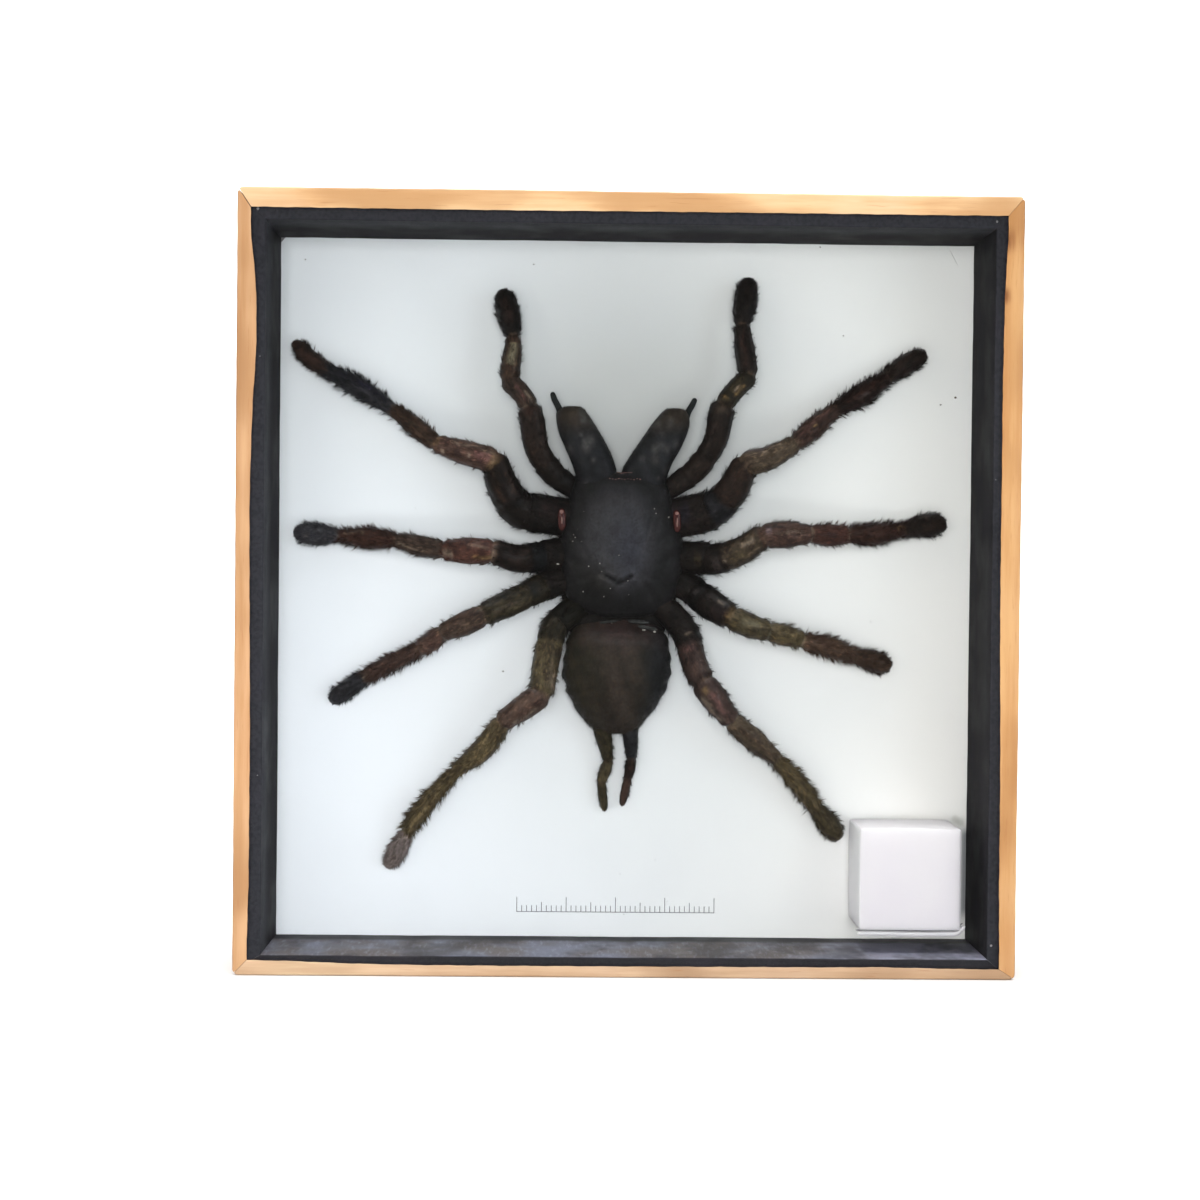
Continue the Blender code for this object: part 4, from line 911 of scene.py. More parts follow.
def build_carapace(materials):
    """The head shield: a felted dome with a head lobe, radiating grooves and a bent pit."""
    rng = np.random.default_rng(21)
    x, height, z, angle = body_shape(CARAPACE_OUTLINE, 110, 120, 2.25)
    x, height, z = close_body(x, height, z, 0.12)
    top = ease(np.sin(angle), 0.1, 0.6)[None, :]
    middle = -1.5
    dip = 0.7 * np.exp(-(line_distance(x, z, FOVEA) / 0.32) ** 2)
    rim = 0.22 * bell(line_distance(x, z, FOVEA), 0.85, 0.35)
    for way in (-1, 1):
        head = ((middle + way * 2.2, 78.5), (middle + way * 5.4, 84.0), (middle + way * 8.2, 93.0))
        dip = dip + 0.4 * np.exp(-(line_distance(x, z, head) / 0.8) ** 2)
        for end_x, end_z in ((11.0, 87.0), (11.6, 81.0), (10.8, 75.0), (7.6, 70.8)):
            ray = ((middle + way * 3.6, 77.2), (middle + way * end_x, end_z))
            dip = dip + 0.24 * np.exp(-(line_distance(x, z, ray) / 0.7) ** 2)
    lobe = 0.35 * np.exp(-(((x - middle) / 6.0) ** 2 + ((z - 89) / 6.5) ** 2) ** 2)
    eyes = 0.0
    for eye_x, eye_z in ((-2.6, 95.2), (-0.5, 95.2)):
        eyes = eyes + 0.3 * np.exp(-(((x - eye_x) / 0.6) ** 2 + ((z - eye_z) / 0.45) ** 2))
    noise = 0.05 * waves(x * 0.9, z * 1.3, rng, 8)
    height = height + top * (rim - dip + lobe + eyes + noise)
    margin = 0.35 * bell(np.sin(angle), -0.1, 0.16)[None, :]
    x = x - np.sign(x - middle) * margin
    ring = np.stack([x, BOARD_Y - height, z], -1)

    slate, blue, olive, dark = (srgb(66, 66, 69), srgb(62, 63, 71), srgb(52, 48, 34),
                                srgb(26, 25, 26))
    tint = blend(np.array(slate), blue, bell(x, 0.5, 3.5) * bell(z, 82, 7))
    tint = blend(tint, olive, ease(-x, 0, 8) * ease(-z, -82, -71))
    half = (np.abs(x - middle) / 11.5) ** 2 + ((z - 84) / 15.5) ** 2
    tint = blend(tint, dark, 0.95 * ease(half, 0.05, 0.7))
    tint = tint * (1 + 0.3 * waves(x * 0.45, z * 0.8, rng, 6))[..., None]
    # Painted shade in the bent pit and a painted highlight on its rim.
    tint = tint * (1 - 0.9 * np.exp(-(line_distance(x, z, FOVEA) / 0.3) ** 2))[..., None]
    tint = tint * (1 + 0.4 * bell(line_distance(x, z, FOVEA), 0.85, 0.3))[..., None]
    # Painted shade: darker where the shell turns away from the glass.
    tint = tint * (0.35 + 0.65 * top)[..., None]
    bundle = Bundle()
    add_tube(bundle, ring, tint, ring * 0.6)
    row, side = scatter(ring, rng, 5200)
    edge = np.abs(np.sin(angle[side])) < 0.42
    keep = edge | (rng.random(len(row)) < 0.5)
    row, side, edge = row[keep], side[keep], edge[keep]
    count = len(row)
    length = np.where(edge, rng.uniform(0.35, 0.9, count), rng.uniform(0.12, 0.3, count))
    add_fur(bundle, ring, tint, (row, side), (0.0, 0.0, -1.0), rng, length,
            lean=np.where(edge, 42, 22) + rng.normal(0, 8, count),
            width=np.where(edge, 0.06, 0.045), shade=rng.uniform(0.6, 1.6, (count, 1)))
    return bundle.make("spider_carapace", materials, "spider_shell", ["carapace"])


def build_abdomen(materials):
    """The dried abdomen: a slightly sunken egg with creases, lumps at its edge and short fur."""
    rng = np.random.default_rng(22)
    x, height, z, angle = body_shape(ABDOMEN_OUTLINE, 90, 110, 2.1)
    x, height, z = close_body(x, height, z, 0.1)
    top = ease(np.sin(angle), 0.0, 0.5)[None, :]
    side = bell(np.sin(angle), 0.1, 0.5)[None, :]
    lumps = waves(x * 0.7, z * 1.5, rng, 7) * 0.22
    creases = 0.16 * np.sin(z * 1.9 + 0.8 * np.sin(x * 0.5)) * side
    scar = 0.35 * np.exp(-(line_distance(x, z, ((-13.2, 56.0), (-11.8, 54.6))) / 0.5) ** 2)
    fold = 0.22 * np.exp(-(line_distance(x, z, ((-6.0, 64.6), (3.5, 64.0))) / 0.6) ** 2)
    height = height + top * (lumps - fold)
    middle = x.mean(axis=1, keepdims=True)
    x = x + (x - middle) / 11.0 * (lumps * 0.6 + creases - scar)
    ring = np.stack([x, BOARD_Y - height, z], -1)

    olive, centre, cold, flesh = (srgb(44, 40, 29), srgb(58, 50, 43), srgb(26, 26, 28),
                                  srgb(62, 47, 46))
    tint = blend(np.array(olive), centre, bell(x, -1.0, 5.0))
    tint = blend(tint, cold, ease(x, 1.0, 6.5))
    patch = ease(z + 1.6 * waves(x * 0.8, z * 0.5, rng), 60.5, 66.0) * bell(x, -1.5, 8.0)
    tint = blend(tint, flesh, 0.75 * patch)
    # Painted shade: darker where the skin turns away from the glass.
    tint = tint * (0.4 + 0.6 * top)[..., None]
    tint = tint * (1 + 0.4 * waves(x * 0.5, z * 1.1, rng, 6))[..., None]
    bundle = Bundle()
    add_tube(bundle, ring, tint, ring * 0.6)
    count = 9000
    add_fur(bundle, ring, tint, scatter(ring, rng, count, 3), (0.0, 0.0, -1.0), rng,
            length=rng.uniform(0.25, 0.7, count), lean=26 + rng.normal(0, 9, count),
            shade=rng.uniform(0.6, 1.5, (count, 1)), width=rng.uniform(0.045, 0.075, count))
    return bundle.make("spider_abdomen", materials, "spider_abdomen", ["abdomen"])


# Slices of a jaw, from its blunt end down: z, left, right, top and under. Then its fang.
JAWS = {
    "left": (
        ((110.1, -12.6, -9.6, 8.6, 5.6), (109.6, -13.7, -8.7, 9.2, 5.0),
         (108.6, -14.2, -7.9, 9.8, 4.6), (106.9, -14.1, -6.7, 10.3, 4.4),
         (104.7, -13.6, -5.3, 10.7, 4.3), (102.2, -12.5, -3.9, 10.9, 4.2),
         (99.5, -11.3, -2.7, 10.9, 4.2), (97.0, -10.4, -2.1, 10.8, 4.2),
         (94.0, -9.6, -1.7, 9.8, 4.2)),
        ((-13.0, 107.6, 1.4), (-13.7, 109.8, 1.3), (-14.6, 111.6, 1.2), (-15.1, 113.1, 1.0))),
    "right": (
        ((109.9, 7.9, 10.8, 8.6, 5.6), (109.4, 7.0, 11.7, 9.2, 5.0),
         (108.4, 6.0, 12.1, 9.8, 4.6), (106.8, 4.7, 12.2, 10.3, 4.4),
         (104.6, 3.2, 11.6, 10.7, 4.3), (101.9, 1.4, 10.4, 10.9, 4.2),
         (99.2, -0.3, 8.9, 10.9, 4.2), (97.2, -1.2, 8.1, 10.8, 4.2),
         (94.0, -1.4, 7.2, 9.8, 4.2)),
        ((11.2, 107.2, 1.4), (11.9, 109.3, 1.3), (12.8, 110.9, 1.2), (13.4, 112.2, 1.0))),
}


def build_jaw(side_name, seed, materials):
    """A smooth jaw with a blunt slanted end and a short fang at its outer corner."""
    slices, fang = JAWS[side_name]
    rng = np.random.default_rng(seed)
    x, height, z, angle = body_shape(slices, 90, 64, 2.3)
    x, height, z = close_body(x, height, z, 0.18)
    height = height + 0.12 * waves(x * 0.9, z * 0.9, rng, 6) * ease(np.sin(angle), 0, 0.5)
    ring = np.stack([x, BOARD_Y - height, z], -1)
    slate, brown, pale = srgb(37, 38, 41), srgb(60, 52, 43), srgb(105, 104, 102)
    tint = blend(np.array(slate), brown, ease(z, 103.5, 108.5))
    # Painted shade: darker where the jaw turns away from the glass.
    top = ease(np.sin(angle), 0.1, 0.95)[None, :]
    tint = tint * (0.25 + 0.75 * top)[..., None]
    tint = tint * (1 + 0.5 * waves(x * 0.6, z * 0.8, rng))[..., None]
    middle_x, middle_z = x.mean(), z.mean()
    # Painted highlights: pale spots on the jaw's top.
    for _ in range(16):
        spot_x, spot_z = middle_x + rng.normal(0, 1.8), middle_z + rng.normal(0, 3.6)
        size = rng.uniform(0.25, 0.8)
        mask = rng.uniform(0.2, 0.6) * bell(x, spot_x, size) * bell(z, spot_z, size * 1.4) * top
        tint = blend(tint, pale, mask)
    bundle = Bundle()
    add_tube(bundle, ring, tint, ring * 0.6)
    count = 2600
    add_fur(bundle, ring, tint, scatter(ring, rng, count), (0.0, 0.0, 1.0), rng,
            length=rng.uniform(0.15, 0.5, count), lean=rng.uniform(12, 32, count),
            width=rng.uniform(0.04, 0.06, count), shade=rng.uniform(0.5, 1.3, (count, 1)))
    stations = [(fang_x, BOARD_Y - fang_height, fang_z, width / 2)
                for (fang_x, fang_z, width), fang_height in zip(fang, (7.4, 7.2, 6.9, 6.6))]
    rows, _, distance = sample_path(stations, 0.12)
    tip = np.clip((distance - distance[-1] + 0.5) / 0.5, 0, 1)
    radius = rows[:, 3] * np.sqrt(1 - 0.96 * tip ** 2)
    ring, _, _, _ = tube(rows[:, :3], radius[:, None])
    add_tube(bundle, ring, srgb(36, 40, 41), ring)
    return bundle.make("spider_chelicera_" + side_name, materials, "spider_shell",
                       ["chelicera_" + side_name])


def build_underbody(materials):
    """The dark, hairy underside between the leg bases, which fills the gaps beside the shell."""
    rng = np.random.default_rng(24)
    x, height, z, angle = body_shape(UNDERBODY_OUTLINE, 70, 90, 2.2)
    x, height, z = close_body(x, height, z, 0.2)
    lumps = 0.25 * waves(x * 1.2, z * 1.2, rng, 6)
    ring = np.stack([x, BOARD_Y - height - lumps, z], -1)
    tint = np.array(srgb(24, 21, 19)) * (1 + 0.4 * waves(x * 0.8, z * 1.4, rng, 6))[..., None]
    bundle = Bundle()
    add_tube(bundle, ring, tint, ring * 0.6)
    count = 5000
    spots = scatter(ring, rng, count)
    flow = np.stack([np.sign(x[spots] + 1.5), np.zeros(count), np.full(count, -0.6)], -1)
    add_fur(bundle, ring, tint, spots, flow, rng,
            length=rng.uniform(0.5, 1.3, count), lean=rng.normal(34, 9, count),
            width=rng.uniform(0.05, 0.08, count), shade=rng.uniform(0.5, 1.3, (count, 1)))
    return bundle.make("spider_underbody", materials, "spider_shell")


def pebble(bundle, centre, size, rng, rough=0.25):
    """A small irregular lump: half sizes along x, y and z."""
    rings, sides = 6, 9
    polar = (np.arange(rings) + 0.5) / rings * math.pi
    angle = np.arange(sides) * 2 * math.pi / sides
    shape = 1 + rough * waves(angle[None, :], polar[:, None] * 2, rng, 3)
    x = np.sin(polar)[:, None] * np.cos(angle)[None, :] * shape * size[0]
    y = np.cos(polar)[:, None] * np.ones(sides)[None, :] * size[1]
    z = np.sin(polar)[:, None] * np.sin(angle)[None, :] * shape * size[2]
    add_tube(bundle, np.stack([x, y, z], -1) + np.asarray(centre, float))


def capsule(bundle, start, end, width, sides=14):
    """A smooth rounded rod between two points."""
    start, end = np.asarray(start, float), np.asarray(end, float)
    share = np.linspace(0, 1, 15)
    points = start + (end - start) * share[:, None]
    profile = np.sqrt(np.clip(1 - np.abs(2 * share - 1) ** 3.2, 0, 1)) * width / 2
    add_tube(bundle, tube(points, np.maximum(profile, 0.02)[:, None], sides, 0.7)[0])


def build_body_trim():
    """Small soft parts that show between the spider's shell pieces, painted highlights, and the
    dust on it.
    """
    rng = np.random.default_rng(23)
    skin = Bundle()
    capsule(skin, (-13.0, -0.5, 90.1), (-12.85, -0.4, 85.5), 1.7)
    capsule(skin, (9.7, -0.55, 90.0), (9.95, -0.45, 85.4), 1.6)
    make_trim(skin, "spider_membranes", "spider_shell", "dried_membrane", srgb(66, 33, 31), 0.25)

    glints = Bundle()
    # The first four pebbles are painted highlights on the two red membranes.
    for x, y, z, wide, tall in ((-13.0, -1.06, 89.3, 0.4, 0.4), (9.75, -1.08, 89.2, 0.38, 0.35),
                                (9.85, -1.06, 87.4, 0.16, 1.0), (-12.9, -1.04, 87.6, 0.12, 0.8)):
        pebble(glints, (x, y, z), (wide, 0.05, tall), rng, rough=0.1)
    # Two rows of pale pink specks along the head's front edge.
    for index in range(6):
        pebble(glints, (-1.9 + index * 0.5, BOARD_Y - 11.1, 97.05 + rng.uniform(-0.12, 0.12)),
               (rng.uniform(0.08, 0.26), 0.1, rng.uniform(0.05, 0.1)), rng)
    for index in range(11):
        pebble(glints, (-3.6 + index * 0.6, BOARD_Y - 11.15, 95.9 - 0.09 * (index % 3)),
               (rng.uniform(0.08, 0.2), 0.08, rng.uniform(0.06, 0.12)), rng)
    make_trim(glints, "spider_glints", "spider_shell", "membrane_glint", srgb(134, 98, 92), 0.35)

    plates = Bundle()
    for start, end, width in (((0.2, 8.9, 67.9), (4.6, 8.8, 67.5), 0.9),
                              ((2.2, 9.4, 66.9), (6.2, 9.4, 66.2), 0.8),
                              ((-5.4, 8.6, 67.4), (-1.6, 8.7, 67.9), 0.6)):
        ends = [(x, BOARD_Y - height, z) for x, height, z in (start, end)]
        capsule(plates, ends[0], ends[1], width)
    make_trim(plates, "spider_waist_plates", "spider_shell", "waist_plates", srgb(46, 46, 45), 0.25)

    flakes = Bundle()
    for x, z, height, long in ((-2.9, 67.5, 7.9, 0.5), (3.5, 66.1, 8.6, 0.8), (5.6, 65.8, 9.2, 0.6),
                               (-13.6, 79.0, 8.2, 0.6), (12.2, 79.2, 8.2, 0.5),
                               (8.1, 88.4, 11.2, 0.3), (-8.6, 73.6, 10.6, 0.25)):
        pebble(flakes, (x, BOARD_Y - height, z), (long * 0.5, 0.12, 0.16), rng)
    for _ in range(46):
        x, z = rng.uniform(-11, 9), rng.uniform(70, 95)
        if ((x + 1.5) / 11) ** 2 + ((z - 83) / 13) ** 2 < 0.8:
            height = 11.9 - 3.0 * (((x + 1.5) / 12) ** 2) - 1.6 * ((z - 85) / 14) ** 2
            size = rng.uniform(0.05, 0.11)
            pebble(flakes, (x, BOARD_Y - height, z), (size, 0.05, size), rng)
    make_trim(flakes, "spider_dust", "spider_shell", "pale_dust", srgb(176, 172, 164))


# ---------------------------------------------------------------- the wooden frame

# Width of the wood beside the glass along each rail: position along the rail, width.
LIPS = {
    "left": ((0, 2.8), (7.7, 2.9), (15.3, 3.1), (45.8, 3.14), (61, 3.0), (76, 2.86), (91.5, 2.76),
             (99, 2.88), (107, 3.07), (114, 3.31), (122, 3.8), (129.6, 3.85), (137, 3.66),
             (145, 2.63), (150, 2.6)),
    "right": ((0, 3.15), (7.7, 3.22), (15.3, 3.35), (30.6, 3.37), (45.8, 3.49), (53.4, 3.6),
              (61, 3.75), (76, 3.87), (107, 3.89), (114, 3.94), (122, 3.87), (130, 3.79),
              (137, 3.68), (145, 3.24), (150, 3.2)),
    "bottom": ((-75, 2.9), (-64, 2.7), (-56, 2.4), (-48.5, 2.25), (-41, 2.15), (-33, 2.12),
               (-25.4, 2.1), (5, 2.12), (44, 2.2), (51, 2.32), (59, 2.17), (67, 2.06), (75, 2.0)),
    "top": ((-75, 3.9), (-40, 3.95), (-20, 3.95), (0, 3.85), (40, 3.8), (64, 3.8), (75, 3.75)),
}
# Distances in from the frame's outer faces: the glass, the inner side of the wood behind it, and
# the inner side of the lining.
GLASS_MARGIN = {"left": 2.5, "right": 3.05, "bottom": 1.9, "top": 3.6}
WALL = {"left": 4.3, "right": 4.55, "bottom": 2.7, "top": 5.1}
OPENING = {"left": 5.2, "right": 5.2, "bottom": 3.6, "top": 6.0}
MITRE_GAP = 0.02
# The first and last of a rail's faces around its profile that lie in the rabbet.
RABBET_FACES = (11, 14)
NEIGHBOURS = {"left": ("bottom", "top"), "right": ("bottom", "top"),
              "bottom": ("left", "right"), "top": ("left", "right")}


def lip_at(side, position):
    """Smoothed lip width at positions along a rail."""
    where, width = np.array(LIPS[side]).T
    total = np.zeros_like(np.asarray(position, float))
    for shift in (-2.4, -1.2, 0, 1.2, 2.4):
        total = total + np.interp(np.asarray(position) + shift, where, width)
    return total / 5


def rail_place(side, along, inward, y):
    """Turn a position along a rail, a distance in from its outer face and a y into a point."""
    if side == "left":
        return np.stack([-WIDTH / 2 + inward, y, along], -1)
    if side == "right":
        return np.stack([WIDTH / 2 - inward, y, along], -1)
    if side == "bottom":
        return np.stack([along, y, inward], -1)
    return np.stack([along, y, HEIGHT - inward], -1)


def strip_span(side):
    """Start and end of a rail along its length."""
    return (0.0, HEIGHT) if side in ("left", "right") else (-WIDTH / 2, WIDTH / 2)


def sweep(side, profile_at, mitres, count):
    """Rings of a mitred strip along a rail.

    The profile holds pairs of a distance in from the frame's outer face and a y. A mitre is an
    offset and a slope: how far in along the rail the strip starts, and how that grows inwards.
    """
    start, end = strip_span(side)
    rings = []
    for share in (1 - np.cos(np.linspace(0, math.pi, count))) / 2:
        inward, y = np.array(profile_at(start + (end - start) * share)).T
        low = start + mitres[0][0] + mitres[0][1] * inward
        high = end - mitres[1][0] - mitres[1][1] * inward
        rings.append(rail_place(side, low + (high - low) * share, inward, y))
    return np.stack(rings)


def flange_edge(side):
    """How far in from the frame's outer face the lining's flange starts, under the glass."""
    return GLASS_MARGIN[side] + 0.05


def rail_mitres(side):
    """Mitres that run from the frame's outer corner to the corner of the lips."""
    mitres = []
    for place, neighbour in zip(strip_span(side), NEIGHBOURS[side]):
        far = strip_span(neighbour)[0 if side in ("left", "bottom") else 1]
        slope = float(lip_at(neighbour, far) / lip_at(side, place))
        gap = 0.1 if {side, neighbour} == {"top", "left"} else 0.04
        mitres.append((gap, slope))
    return mitres


def quarter_round(corner, start, end, steps=3):
    """Points of a quarter circle from start to end around a cut-off corner."""
    points = []
    for angle in np.linspace(0, math.pi / 2, steps + 1):
        near, far = 1 - math.sin(angle), 1 - math.cos(angle)
        points.append(tuple(c + (s - c) * near + (e - c) * far
                            for c, s, e in zip(corner, start, end)))
    return points


def build_rail(side, material, rabbet):
    """A rail with soft edges, a slightly uneven lip and a rabbet for the glass."""
    phase = np.random.default_rng(31 + len(side)).uniform(0, 6.3, 4)
    glass = GLASS_MARGIN[side] - 0.07
    wall = WALL[side]

    def profile_at(place):
        lip = float(lip_at(side, place)) + 0.03 * math.sin(place * 0.8 + phase[0])
        lip += 0.02 * math.sin(place * 2.1 + phase[1])
        outer = 0.0
        if side != "bottom":
            outer = 0.02 * (2 + math.sin(place * 0.11 + phase[2]) + math.sin(place * 0.9))
        to_end = min(abs(place - end) for end in strip_span(side))
        outer += 0.4 * max(0.0, 1 - to_end / 1.1) ** 2
        points = quarter_round((outer, BACK_Y), (outer + 0.5, BACK_Y), (outer, BACK_Y - 0.5))
        points += quarter_round((outer, FRONT_Y), (outer, FRONT_Y + 0.4), (outer + 0.4, FRONT_Y))
        points += [(lip - 0.24, FRONT_Y), (lip - 0.08, FRONT_Y + 0.03), (lip, FRONT_Y + 0.1),
                   (lip, FRONT_Y + 0.14), (glass, FRONT_Y + 0.16), (glass, -11.6),
                   (wall, -11.6), (wall, BACK_Y - 0.2), (wall - 0.2, BACK_Y)]
        return points

    ring = sweep(side, profile_at, rail_mitres(side), 150)
    bundle = Bundle()
    add_tube(bundle, ring)
    piece = bundle.make("wooden_rail_" + side, [material, rabbet], "wood", ["rail_" + side],
                        smooth=40)
    rings, corners = ring.shape[:2]
    # The rabbet's faces and the mitre faces at the ends get the rabbet's painted shade.
    for face in piece.data.polygons:
        in_rabbet = RABBET_FACES[0] <= face.index % corners <= RABBET_FACES[1]
        if face.index >= (rings - 1) * corners or in_rabbet:
            face.material_index = 1
    return piece


def build_liner(side, material):
    """A strip of black card along a wall, folded outwards under the glass."""
    rng = np.random.default_rng(41 + len(side))
    phase = rng.uniform(0, 6.3, 4)
    opening = OPENING[side]
    mitres = []
    for neighbour in NEIGHBOURS[side]:
        outer, near = flange_edge(side), flange_edge(neighbour)
        slope = (OPENING[neighbour] - near) / (opening - outer)
        mitres.append((near - slope * outer + MITRE_GAP, slope))

    def profile_at(place):
        wobble = 0.05 * math.sin(place * 0.13 + phase[0]) + 0.02 * math.sin(place * 0.7 + phase[1])
        edge = flange_edge(side)
        inner = opening + min(0.0, wobble)
        points = [(edge, -12.5), (inner - 0.35, -12.5)]
        points += quarter_round((inner, -12.5), (inner - 0.3, -12.5), (inner, -12.2))[1:]
        for y, bow in ((-8.0, 0.6), (-2.0, 1.0), (4.0, 0.7), (8.7, 0.0)):
            points.append((inner - bow * 0.05 * (1 + math.sin(place * 0.09 + phase[3])), y))
        points += [(opening - 0.6, 8.7), (opening - 0.6, -11.9), (edge, -11.9)]
        return points

    bundle = Bundle()
    add_tube(bundle, sweep(side, profile_at, mitres, 90))
    return bundle.make("card_liner_" + side, [material], "black_card", ["liner_" + side],
                       smooth=40)


# ---------------------------------------------------------------- board, box and small marks

def rounded_outline(low_x, high_x, low_z, high_z, radii, steps=8):
    """Points of a rectangle with its own rounding at each corner, from lower left, turning left."""
    corners = ((low_x, low_z, 180), (high_x, low_z, 270), (high_x, high_z, 0), (low_x, high_z, 90))
    points = []
    for (x, z, first), radius in zip(corners, radii):
        middle_x = x + radius if x == low_x else x - radius
        middle_z = z + radius if z == low_z else z - radius
        for angle in np.radians(np.linspace(first, first + 90, steps + 1)):
            points.append((middle_x + radius * math.cos(angle),
                           middle_z + radius * math.sin(angle)))
    return np.array(points)


def add_plate(bundle, outline, layers):
    """Add a flat solid from its outline and its layers: each one's inset and y."""
    middle = outline.mean(axis=0)
    rings = []
    for inset, y in layers:
        moved = middle + (outline - middle) * (1 - inset / 70)
        rings.append(np.stack([moved[:, 0], np.full(len(moved), y), moved[:, 1]], -1))
    add_tube(bundle, np.stack(rings))


def build_board(material):
    """The white paper-faced board: soft edges and worn lower corners."""
    bundle = Bundle()
    add_plate(bundle, rounded_outline(-70.4, 70.4, 3.0, 144.6, (1.9, 1.7, 0.4, 0.5)),
              ((0.15, 9.0), (0.03, 9.06), (0.0, 9.2), (0.0, 10.85), (0.12, 11.0)))
    return bundle.make("white_board", [material], "white_board", ["backing_board"], smooth=30)


def build_glass(material):
    """The glass pane behind the lips of the rails, its sharp edges ground off."""
    outline = rounded_outline(GLASS_MARGIN["left"] - WIDTH / 2, WIDTH / 2 - GLASS_MARGIN["right"],
                              GLASS_MARGIN["bottom"], HEIGHT - GLASS_MARGIN["top"], (0.4,) * 4, 3)
    bundle = Bundle()
    add_plate(bundle, outline, ((0.12, -14.8), (0.0, -14.68), (0.0, -12.92), (0.12, -12.8)))
    piece = bundle.make("glass_pane", [material], "glass", ["glass"], smooth=30)
    piece.visible_shadow = False
    return piece


def block_surface(cuts):
    """Vertices and quads of a finely cut cube from -1 to 1."""
    bm = bmesh.new()
    bmesh.ops.create_cube(bm, size=2.0)
    bmesh.ops.subdivide_edges(bm, edges=bm.edges, cuts=cuts, use_grid_fill=True)
    verts = np.array([vertex.co for vertex in bm.verts])
    faces = np.array([[vertex.index for vertex in face.verts] for face in bm.faces])
    bm.free()
    return verts, faces


def rounded_block(verts, low, high, radius):
    """Push a cube's surface onto a box with rounded edges."""
    low, high = np.array(low, float), np.array(high, float)
    half = (high - low) / 2
    spot = np.sin(np.clip(verts, -1, 1) * math.pi / 2) * half
    inner = np.clip(spot, -half + radius, half - radius)
    return (low + high) / 2 + inner + radius * unit(spot - inner), verts


def build_paper_box(material):
    """A box folded from white paper, slightly swollen."""
    cube, faces = block_surface(23)
    low, high = (45.75, -6.95, 8.05), (65.85, 8.65, 28.15)
    verts, cube = rounded_block(cube, low, high, 0.55)
    x, y, z = cube.T
    verts[:, 1] += np.where(y < -0.9, -0.04 + 0.1 * (1 - (1 - x ** 2) * (1 - z ** 2)), 0)
    verts[:, 0] += np.where(x < -0.9, 0.22 * (1 - (1 - y ** 2) * (1 - z ** 2)), 0)
    verts[:, 2] -= np.where(z > 0.9, 0.25 * (1 - (1 - y ** 2) * (1 - x ** 2)), 0)
    verts[:, 0] += 0.05 * np.sin(verts[:, 2] * 0.45 + verts[:, 1] * 0.3) * (1 - x ** 2)
    # Painted light: the box's left and right faces are whiter than its front and top.
    front = ease(-y, 0.9, 0.99)[:, None]
    sides = ease(np.abs(x), 0.9, 0.99)[:, None] * (1 - front)
    tint = np.array(srgb(232, 228, 231)) + sides * (np.array(srgb(255, 254, 255)) - 0.79)
    bundle = Bundle()
    bundle.add(verts, [faces], np.clip(tint, 0, 1))
    return bundle.make("paper_box_folded", [material], "white_paper", ["paper_box"], smooth=60)


def build_box_lip(material):
    """The lip of the paper box's tray: a thin rounded sheet just below its front edge, and above it
    a thin grey rod that is a painted shadow line.
    """
    share = np.linspace(0, 1, 60)
    x = 45.7 + 21.2 * share
    z = 7.3 + 1.5 * ease(share, 0.88, 1.0) ** 2 + 0.05 * np.sin(share * 9)
    points = np.stack([x, np.full(60, -5.9), z], -1)
    radius = 0.42 * np.sqrt(np.clip(1 - np.abs(2 * share - 1) ** 24, 0.02, 1))
    bundle = Bundle()
    add_tube(bundle, tube(points, radius[:, None], 20, 2.2)[0], srgb(238, 235, 236))
    bundle.make("paper_box_lip", [material], "white_paper")
    # A thin grey rod in the gap above the lip: a painted shadow line.
    groove = Bundle()
    points = np.stack([x - 0.25, np.full(60, -5.2), z + 0.5], -1)
    add_tube(groove, tube(points, radius[:, None] * 0.4, 12, 1.6)[0])
    make_trim(groove, "paper_box_shadow_line", "white_paper", "box_shadow_line_grey", srgb(128, 126, 132))


def slab(bundle, low, high):
    """A thin bar between two corners, its long edges cut off."""
    (ax, ay, az), (bx, by, bz) = low, high
    rings = []
    for y, inset in ((by, 0.0), (ay + 0.3 * (by - ay), 0.0), (ay, 0.012)):
        rings.append([(ax + inset, y, az + inset), (bx - inset, y, az + inset),
                      (bx - inset, y, bz - inset), (ax + inset, y, bz - inset)])
    add_tube(bundle, np.array(rings))


def build_scale_bar():
    """A printed rule of forty millimetres under the spider."""
    ink = Bundle()
    start_x, base_z, stroke = -21.3, 8.6, 0.16
    for index in range(41):
        tall = 2.9 if index % 10 == 0 else 1.9 if index % 5 == 0 else 1.2
        x = start_x + index
        slab(ink, (x - stroke / 2, 8.97, base_z), (x + stroke / 2, 9.02, base_z + tall))
    slab(ink, (start_x - stroke / 2, 8.965, base_z - stroke),
         (start_x + 40 + stroke / 2, 9.02, base_z))
    make_trim(ink, "printed_scale_bar", "white_board", "printed_grey", srgb(140, 142, 146))


